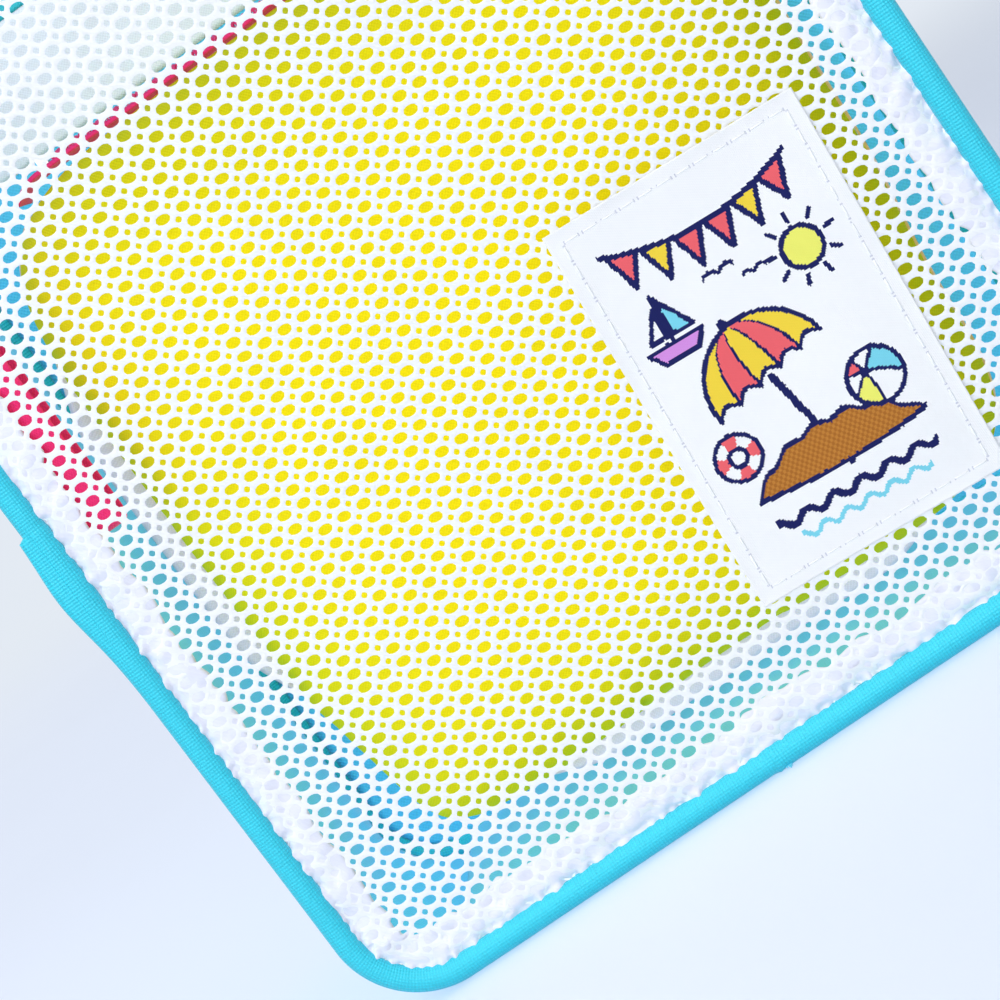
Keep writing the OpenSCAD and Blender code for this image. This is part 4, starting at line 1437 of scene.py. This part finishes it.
# %% Colours of the picture
# The "hole" entry is no thread: its grey is painted shade for the needle holes.
thread_colours = {
    "white": (0.92, 0.925, 0.93), "navy": (0.010, 0.014, 0.105), "yellow": (0.90, 0.66, 0.055),
    "coral": (0.86, 0.13, 0.15), "aqua": (0.20, 0.66, 0.80), "brown": (0.40, 0.14, 0.022),
    "tan": (0.52, 0.21, 0.035), "lilac": (0.66, 0.28, 0.72), "lemon": (0.86, 0.86, 0.16),
    "hole": (0.64, 0.65, 0.73)}
thread_names = list(thread_colours)
half_line = 0.52


class Picture:
    """The colour of every crossing; each shape is drawn over the ones before it."""

    def __init__(self, x, z):
        self.x, self.z = x, z
        self.colour = np.full(x.shape, thread_names.index("white"))

    def fill(self, where, name):
        """Shows one thread wherever the mask is true."""
        self.colour[where] = thread_names.index(name)

    def shape(self, distance, name, line=1.05):
        """A filled shape with a navy outline of the given width."""
        self.fill(distance < 0, name)
        self.fill(np.abs(distance) < line / 2, "navy")


print("colours of thread:", ", ".join(thread_names))

# %% Parasol, mound and ball
def draw_parasol(p, cx, cz, r, lean_angle):
    """A leaning parasol: half a disc with a scalloped edge, five panels, a knob and a pole."""
    c, s = math.cos(lean_angle), math.sin(lean_angle)
    x, z = (p.x - cx) * c + (p.z - cz) * s, -(p.x - cx) * s + (p.z - cz) * c
    p.fill(stroke(x, z, 0, -1.75 * r, 0, 0) < 0.75, "navy")
    scallop = z - 0.13 * r * np.abs(np.sin(2.5 * math.pi * (x + r) / r))
    canopy = np.maximum(np.hypot(x, z) - r, -scallop)
    p.fill(canopy < 0, "yellow")
    share = x / np.sqrt(np.maximum(r * r - z * z, 1)) * 2.5 + 2.5
    p.fill((canopy < 0) & (np.floor(share) % 2 == 1), "coral")
    seam = np.abs(share - np.round(share)) * r / 2.5
    p.fill((canopy < 0) & (seam < 0.36), "navy")
    p.fill(np.abs(canopy) < half_line, "navy")
    p.fill(disc(x, z, 0, r + 0.9, 1.1) < 0, "navy")


def draw_mound(p, cx, cz, half, rise, crossing):
    """A low mound of sand in two browns laid like bricks, with its outline."""
    x, z = p.x - cx, p.z - cz
    hump = z - rise * (1 - np.clip(np.abs(x) / half, 0, 1) ** 2.4) + 0.5 * np.sin(x * 0.9)
    mound = np.maximum(hump, -z - 1.2 + 0.004 * x * x)
    p.fill(mound < 0, "brown")
    p.fill((mound < 0) & crossing, "tan")
    p.fill((np.abs(mound) < half_line) & (np.abs(x) < half + 0.5), "navy")


def draw_ball(p, cx, cz, r):
    """A beach ball with six panels that meet away from its middle."""
    x, z = p.x - cx, p.z - cz
    pole_x, pole_z = -0.28 * r, 0.30 * r
    panel = (np.arctan2(z - pole_z, x - pole_x) / math.pi * 3 + 6.3 + 0.02 * (x - z)) % 6
    ball = disc(x, z, 0, 0, r)
    for k, name in enumerate(["aqua", "white", "coral", "white", "lemon", "white"]):
        p.fill((ball < 0) & (np.floor(panel) == k), name)
    from_pole = np.hypot(x - pole_x, z - pole_z)
    p.fill((ball < 0) & (np.abs(panel - np.round(panel)) * from_pole * math.pi / 3 < 0.34), "navy")
    p.fill(disc(x, z, pole_x, pole_z, 1.0) < 0, "navy")
    p.fill(np.abs(ball) < half_line, "navy")


# %% Boat, sun and ring
def draw_boat(p, cx, cz):
    """A small sailing boat: hull, mast and two sails."""
    x, z = p.x - cx, p.z - cz
    p.fill(stroke(x, z, 0, -2.5, 0, 7.6) < 0.5, "navy")
    p.shape(patch(x, z, [(0.5, -1.2), (5.2, -1.2), (0.5, 6.9)]), "aqua", 0.95)
    p.shape(patch(x, z, [(-0.8, -1.0), (-4.4, -1.0), (-0.8, 5.2)]), "white", 0.95)
    p.shape(patch(x, z, [(-6.0, -2.7), (6.4, -2.7), (3.9, -6.0), (-3.8, -6.0)]), "lilac", 0.95)


def draw_sun(p, cx, cz, r):
    """A sun: a disc with nine short rays."""
    for k in range(9):
        a = 2 * math.pi * k / 9 + 0.2
        near, far = r + 1.6, r + 3.3
        ray = stroke(p.x, p.z, cx + near * math.cos(a), cz + near * math.sin(a),
                     cx + far * math.cos(a), cz + far * math.sin(a))
        p.fill(ray < 0.5, "navy")
    p.shape(disc(p.x, p.z, cx, cz, r), "lemon")


def draw_ring(p, cx, cz, r, width):
    """A swimming ring with four bands."""
    x, z = p.x - cx, p.z - cz
    ring = np.abs(np.hypot(x, z) - r) - width
    p.fill(ring < 0, "white")
    band = (np.arctan2(z, x) / math.pi * 4 + 8.5) % 2
    p.fill((ring < 0) & (band < 1), "coral")
    p.fill(np.abs(ring) < 0.46, "navy")


# %% Pennants, waves and gulls
def draw_pennants(p, half, top, drop, count):
    """A hanging line with pennants: the line is a shallow curve, top minus drop (1 - (x/half)^2)."""
    line = top - drop * (1 - (p.x / half) ** 2)
    wide, tall = 2.9, 7.4
    for k in range(count):
        x0 = -half + 2 * half * (k + 0.5) / count
        z0 = top - drop * (1 - (x0 / half) ** 2)
        slope = 2 * drop * x0 / half ** 2
        corners = [(x0 - wide, z0 - wide * slope), (x0 + wide, z0 + wide * slope),
                   (x0 + 1.2 * slope, z0 - tall)]
        p.shape(patch(p.x, p.z, corners), "coral" if k % 3 != 1 else "yellow", 1.15)
    p.fill((np.abs(p.z - line) < 0.55) & (np.abs(p.x) < half + 1), "navy")


def draw_wave(p, middle, height, pitch, left, right, width, name):
    """A wavy stroke, middle + height sin(2 pi x / pitch), between left and right."""
    line = middle + height * np.sin(2 * math.pi * p.x / pitch)
    slope = height * 2 * math.pi / pitch * np.cos(2 * math.pi * p.x / pitch)
    near = np.abs(p.z - line) / np.sqrt(1 + slope ** 2)
    p.fill((near < width / 2) & (p.x > left) & (p.x < right), name)


def draw_gull(p, cx, cz, size):
    """A far-off gull: two arcs that meet."""
    for side in (-1, 1):
        arc = np.abs(disc(p.x, p.z, cx + side * size, cz - 0.7 * size, size * 1.15))
        p.fill((arc < 0.42) & (p.z > cz - 0.25 * size) & (np.abs(p.x - cx) < 1.8 * size), "navy")


# %% Weave the picture
a_mid = ((np.arange(label_columns) + 0.5) / label_columns - 0.5) * label_w
b_mid = ((np.arange(label_rows) + 0.5) / label_rows - 0.5) * label_h
b_cell, a_cell = crossed(b_mid, a_mid)
row, column = crossed(np.arange(label_rows), np.arange(label_columns))
brick = (column + 2 * (row // 2)) % 4 < 2
wobble = 0.13 * lumps(a_cell, b_cell, 0.9 * mm, 103)
picture = Picture(a_cell / mm + wobble, b_cell / mm + 0.8 * wobble)
draw_pennants(picture, 20.5, 34.5, 4.2, 6)
draw_sun(picture, 15.0, 15.8, 4.3)
draw_boat(picture, -16.6, 15.2)
draw_gull(picture, -2.0, 20.0, 2.0)
draw_gull(picture, 4.4, 16.6, 1.5)
draw_parasol(picture, -3.5, -3.6, 13.6, math.radians(13))
draw_mound(picture, 0.5, -25.2, 19.5, 8.4, brick)
draw_ball(picture, 14.6, -14.2, 5.9)
draw_ring(picture, -17.6, -14.6, 3.4, 1.5)
draw_wave(picture, -31.6, 0.85, 6.4, -18.0, 19.0, 1.5, "navy")
draw_wave(picture, -35.6, 0.75, 5.2, -14.5, 15.5, 1.0, "aqua")
print("threads shown:", {n: int((picture.colour == k).sum()) for k, n in enumerate(thread_names)})

# %% Label seam and finish
seam_inset, seam_pitch = 3.0 * mm, 4.3 * mm
corner_a, corner_b = label_w / 2 - seam_inset, label_h / 2 - seam_inset
seam_line = np.array([[-corner_a, -corner_b], [corner_a, -corner_b], [corner_a, corner_b],
                      [-corner_a, corner_b], [-corner_a, -corner_b]])
stitch_start, stitch_end = stitch_row(seam_line, seam_pitch, part=0.78, lead=0.12)
needle_gap = np.full(a_cell.shape, 1.0)
for a, b in np.concatenate([stitch_start, stitch_end]):
    needle_gap = np.minimum(needle_gap, np.hypot(a_cell - a, b_cell - b))
# painted shade: the crossings at the needle holes show a grey
picture.fill(needle_gap < 0.23 * mm, "hole")

b_grid, a_grid = crossed(np.linspace(-label_h / 2, label_h / 2, label_rows + 1),
                         np.linspace(-label_w / 2, label_w / 2, label_columns + 1))
dark = np.pad((picture.colour != thread_names.index("white")).astype(float), 1, mode="edge")
relief = 0.05 * mm * (dark[:-1, :-1] + dark[1:, :-1] + dark[:-1, 1:] + dark[1:, 1:]) / 4
label = add_sheet("label", label_place(a_grid, b_grid, 0.42 * mm + relief),
                  label_place(a_grid, b_grid, 0.0), points_from(a_grid, b_grid), "bag",
                  label_satin)
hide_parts("woven_label")

palette = np.array([thread_colours[name] + (1.0,) for name in thread_names], dtype=np.float32)
face_colour = np.repeat(palette[0][None], len(label.data.polygons), axis=0)
face_colour[:label_rows * label_columns] = palette[picture.colour.ravel()]
sides = np.zeros(len(label.data.polygons), dtype=np.int32)
label.data.polygons.foreach_get("loop_total", sides)
threads = label.data.color_attributes.new("threads", "FLOAT_COLOR", "CORNER")
threads.data.foreach_set("color", np.repeat(face_colour, sides, axis=0).ravel())
print("label", round(label_w / mm, 1), "by", round(label_h / mm, 1), "mm")

# %% Label stitches
stitch_lift = 0.50 * mm
add_threads("label_stitches", label_place(*stitch_start.T, stitch_lift),
            label_place(*stitch_end.T, stitch_lift), (0.0, -1.0, 0.0), 0.19 * mm, "bag",
            "label_satin", white_thread)
print(len(stitch_start), "label stitches")

# %% [markdown]
# ## Sewing on the rim and handles
# One row of running stitches holds the rim along its lower edge, inside and outside. Each sewn
# handle end is held by the usual box with a cross in it. Every stitch is a short thread whose two
# ends dive into the cloth.

# %% Running stitches
rim_stitch_count = int(rim_around / (3.3 * mm))
stitch_s = np.arange(rim_stitch_count) * rim_around / rim_stitch_count
stitch_end_s = stitch_s + 2.5 * mm
level = np.full(rim_stitch_count, rim_stitch_z)
outwards = points_from(*mouth_place(stitch_s, rim_half_x, rim_half_y, rim_radius)[2:], 0 * stitch_s)
rows = []
for face_depth, facing_out in ((0.0, 1), (rim_t, -1)):
    depth = np.full(rim_stitch_count, face_depth)
    rows.append((rim_point(stitch_s, depth, level), rim_point(stitch_end_s, depth, level),
                 facing_out * outwards))
add_threads("rim_stitches", *(np.concatenate(part) for part in zip(*rows)), 0.22 * mm, "bag",
            "piping_fabric", turquoise_thread)
print(2 * rim_stitch_count, "rim stitches")

# %% Box and cross on each handle end
box_w, box_margin = strap_w - 6 * mm, 2.2 * mm
box_low, box_high = ends_low[2] + box_margin, ends_high[2] - box_margin
stitch, gap = 2.3 * mm, 0.6 * mm


def box_and_cross(x, y):
    """Stitches of one box with a cross, centred at x on the plane y."""
    left, right = x - box_w / 2, x + box_w / 2
    a, b = np.array([left, y, box_low]), np.array([right, y, box_low])
    c, d = np.array([right, y, box_high]), np.array([left, y, box_high])
    pitch = stitch + gap
    return [stitch_row(line, pitch, stitch / pitch) for line in ([a, b, c, d, a, c], [b, d])]


rows = []
for side in (-1, 1):
    face_y = side * (abs(strap_y) + strap_t / 2 - 0.02 * mm)
    for middle_x in (-span / 2, span / 2):
        for starts, ends in box_and_cross(middle_x, face_y):
            rows.append((starts, ends, np.tile([0.0, side, 0.0], (len(starts), 1))))
add_threads("handle_stitches", *(np.concatenate(part) for part in zip(*rows)), 0.24 * mm, "bag",
            "webbing", turquoise_thread)
print(sum(len(row[0]) for row in rows), "handle stitches")

# %% [markdown]
# ## Small hard parts
# The zip's slider, pull and stops keep their construction shape. They get finishes of their own:
# a bright cast metal and a pink enamel. The cord inside the piping and the board inside the base
# sleeve are hidden, and still get the finish that the real ones have.

# %% Finishes for carried-over parts
def cast_metal(name, colour, metallic):
    """Polished cast metal or enamel, with a faint orange-peel surface and small scuffs."""
    material, tree, shader = shader_of(name)
    set_inputs(tree, shader, {
        "Base Color": mottled(tree, colour, 0.03, 3 * mm),
        "Normal": bump(tree, speckle(tree, 1400.0, 3.0), 0.01 * mm, 0.5),
        "Roughness": map_range(tree, speckle(tree, 300.0, 6.0), 0.18, 0.42), "Metallic": metallic})
    return material


def cotton_cord(name):
    """Soft white cord with slanting twists."""
    material, tree, shader = shader_of(name)
    twist = slanting_ribs(tree, {"Scale": 130.0, "Distortion": 2.0})
    set_inputs(tree, shader, {
        "Base Color": mottled(tree, (0.82, 0.82, 0.80), 0.04, 4 * mm),
        "Normal": bump(tree, twist, 0.2 * mm, 0.8), "Roughness": 0.9})
    return material


zip_metal = cast_metal("bright_metal", (0.55, 0.56, 0.58), 1.0)
pink_enamel = cast_metal("pink_enamel", pink, 0.0)
board_plastic = moulded_plastic("board_plastic", (0.80, 0.81, 0.82))
inner_cord = cotton_cord("inner_cord")
finishes = {"zip_slider": zip_metal, "zip_stops": zip_metal, "zip_pull": pink_enamel,
            "base_board": board_plastic, "front_piping_cord": inner_cord,
            "back_piping_cord": inner_cord}
for node, finish in finishes.items():
    for material_slot in bpy.data.objects[node].material_slots:
        material_slot.material = finish
print("finished", ", ".join(finishes))

# %% [markdown]
# ## Loose threads
# Where two lengths of piping fabric are joined, the seam's cut threads stick out a little.

# %% Tuft at the piping's join
tuft_u = np.array([0.0, 0.5, -0.4, 0.9, 0.2]) * mm + corner_r + 80.2 * mm
tuft_reach = np.array([2.4, 1.8, 1.6, 1.3, 2.0]) * mm
tuft_n = len(tuft_u)
tuft_start = points_from(-half_w + tuft_u, np.full(tuft_n, front_y - 0.8 * mm),
                         np.full(tuft_n, 0.55 * mm))
tuft_end = tuft_start + tuft_reach[:, None] * [0.4, -0.9, -0.12]
add_threads("piping_tuft", tuft_start, tuft_end, (0.0, 0.0, 1.0), 0.17 * mm, "bag", "piping_fabric",
            turquoise_thread)
print("tuft of", tuft_n, "threads")

# %% [markdown]
# ## What each lamp lights
# Light that has passed the net is soft, so three lamps shine through it without a shadow of its
# threads. The high lamp lights only the bag's own cloth inside, and the low, left and right ones
# light only the pouch and the leash. The pouch's pale edging belongs to both. The trim lamp
# lights only the piping, and the fill lamp everything but the pieces inside.

# %% Light linking
def light_group(name, pieces, without=False):
    """A collection of pieces for lamps to be linked to; without makes it stand for all others."""
    group = bpy.data.collections.new(name)
    for piece in pieces:
        group.objects.link(piece)
    if without:
        for member in group.collection_objects:
            member.light_linking.link_state = "EXCLUDE"
    return group


bag_cloths = (side_strip, back_cloth, facing, sleeve)
pouch_parts = (pouch_front, pouch_back, edging, tape, teeth, leash)
all_but_net = light_group("sheer_pieces", (net,), without=True)
for lamp in (key_lamp, top_lamp, back_lamp):
    lamp.light_linking.blocker_collection = all_but_net

inner_cloth = light_group("inner_cloth", bag_cloths + (edging,))
pouch_pieces = light_group("pouch_pieces", pouch_parts)
not_inside = light_group("not_inside", bag_cloths + pouch_parts, without=True)
trim_pieces = light_group("trim_pieces", (front_piping, back_piping))
for lamp, lit in ((high_lamp, inner_cloth), (low_lamp, pouch_pieces), (left_lamp, pouch_pieces),
                  (right_lamp, pouch_pieces), (fill_lamp, not_inside), (trim_lamp, trim_pieces)):
    lamp.light_linking.receiver_collection = lit
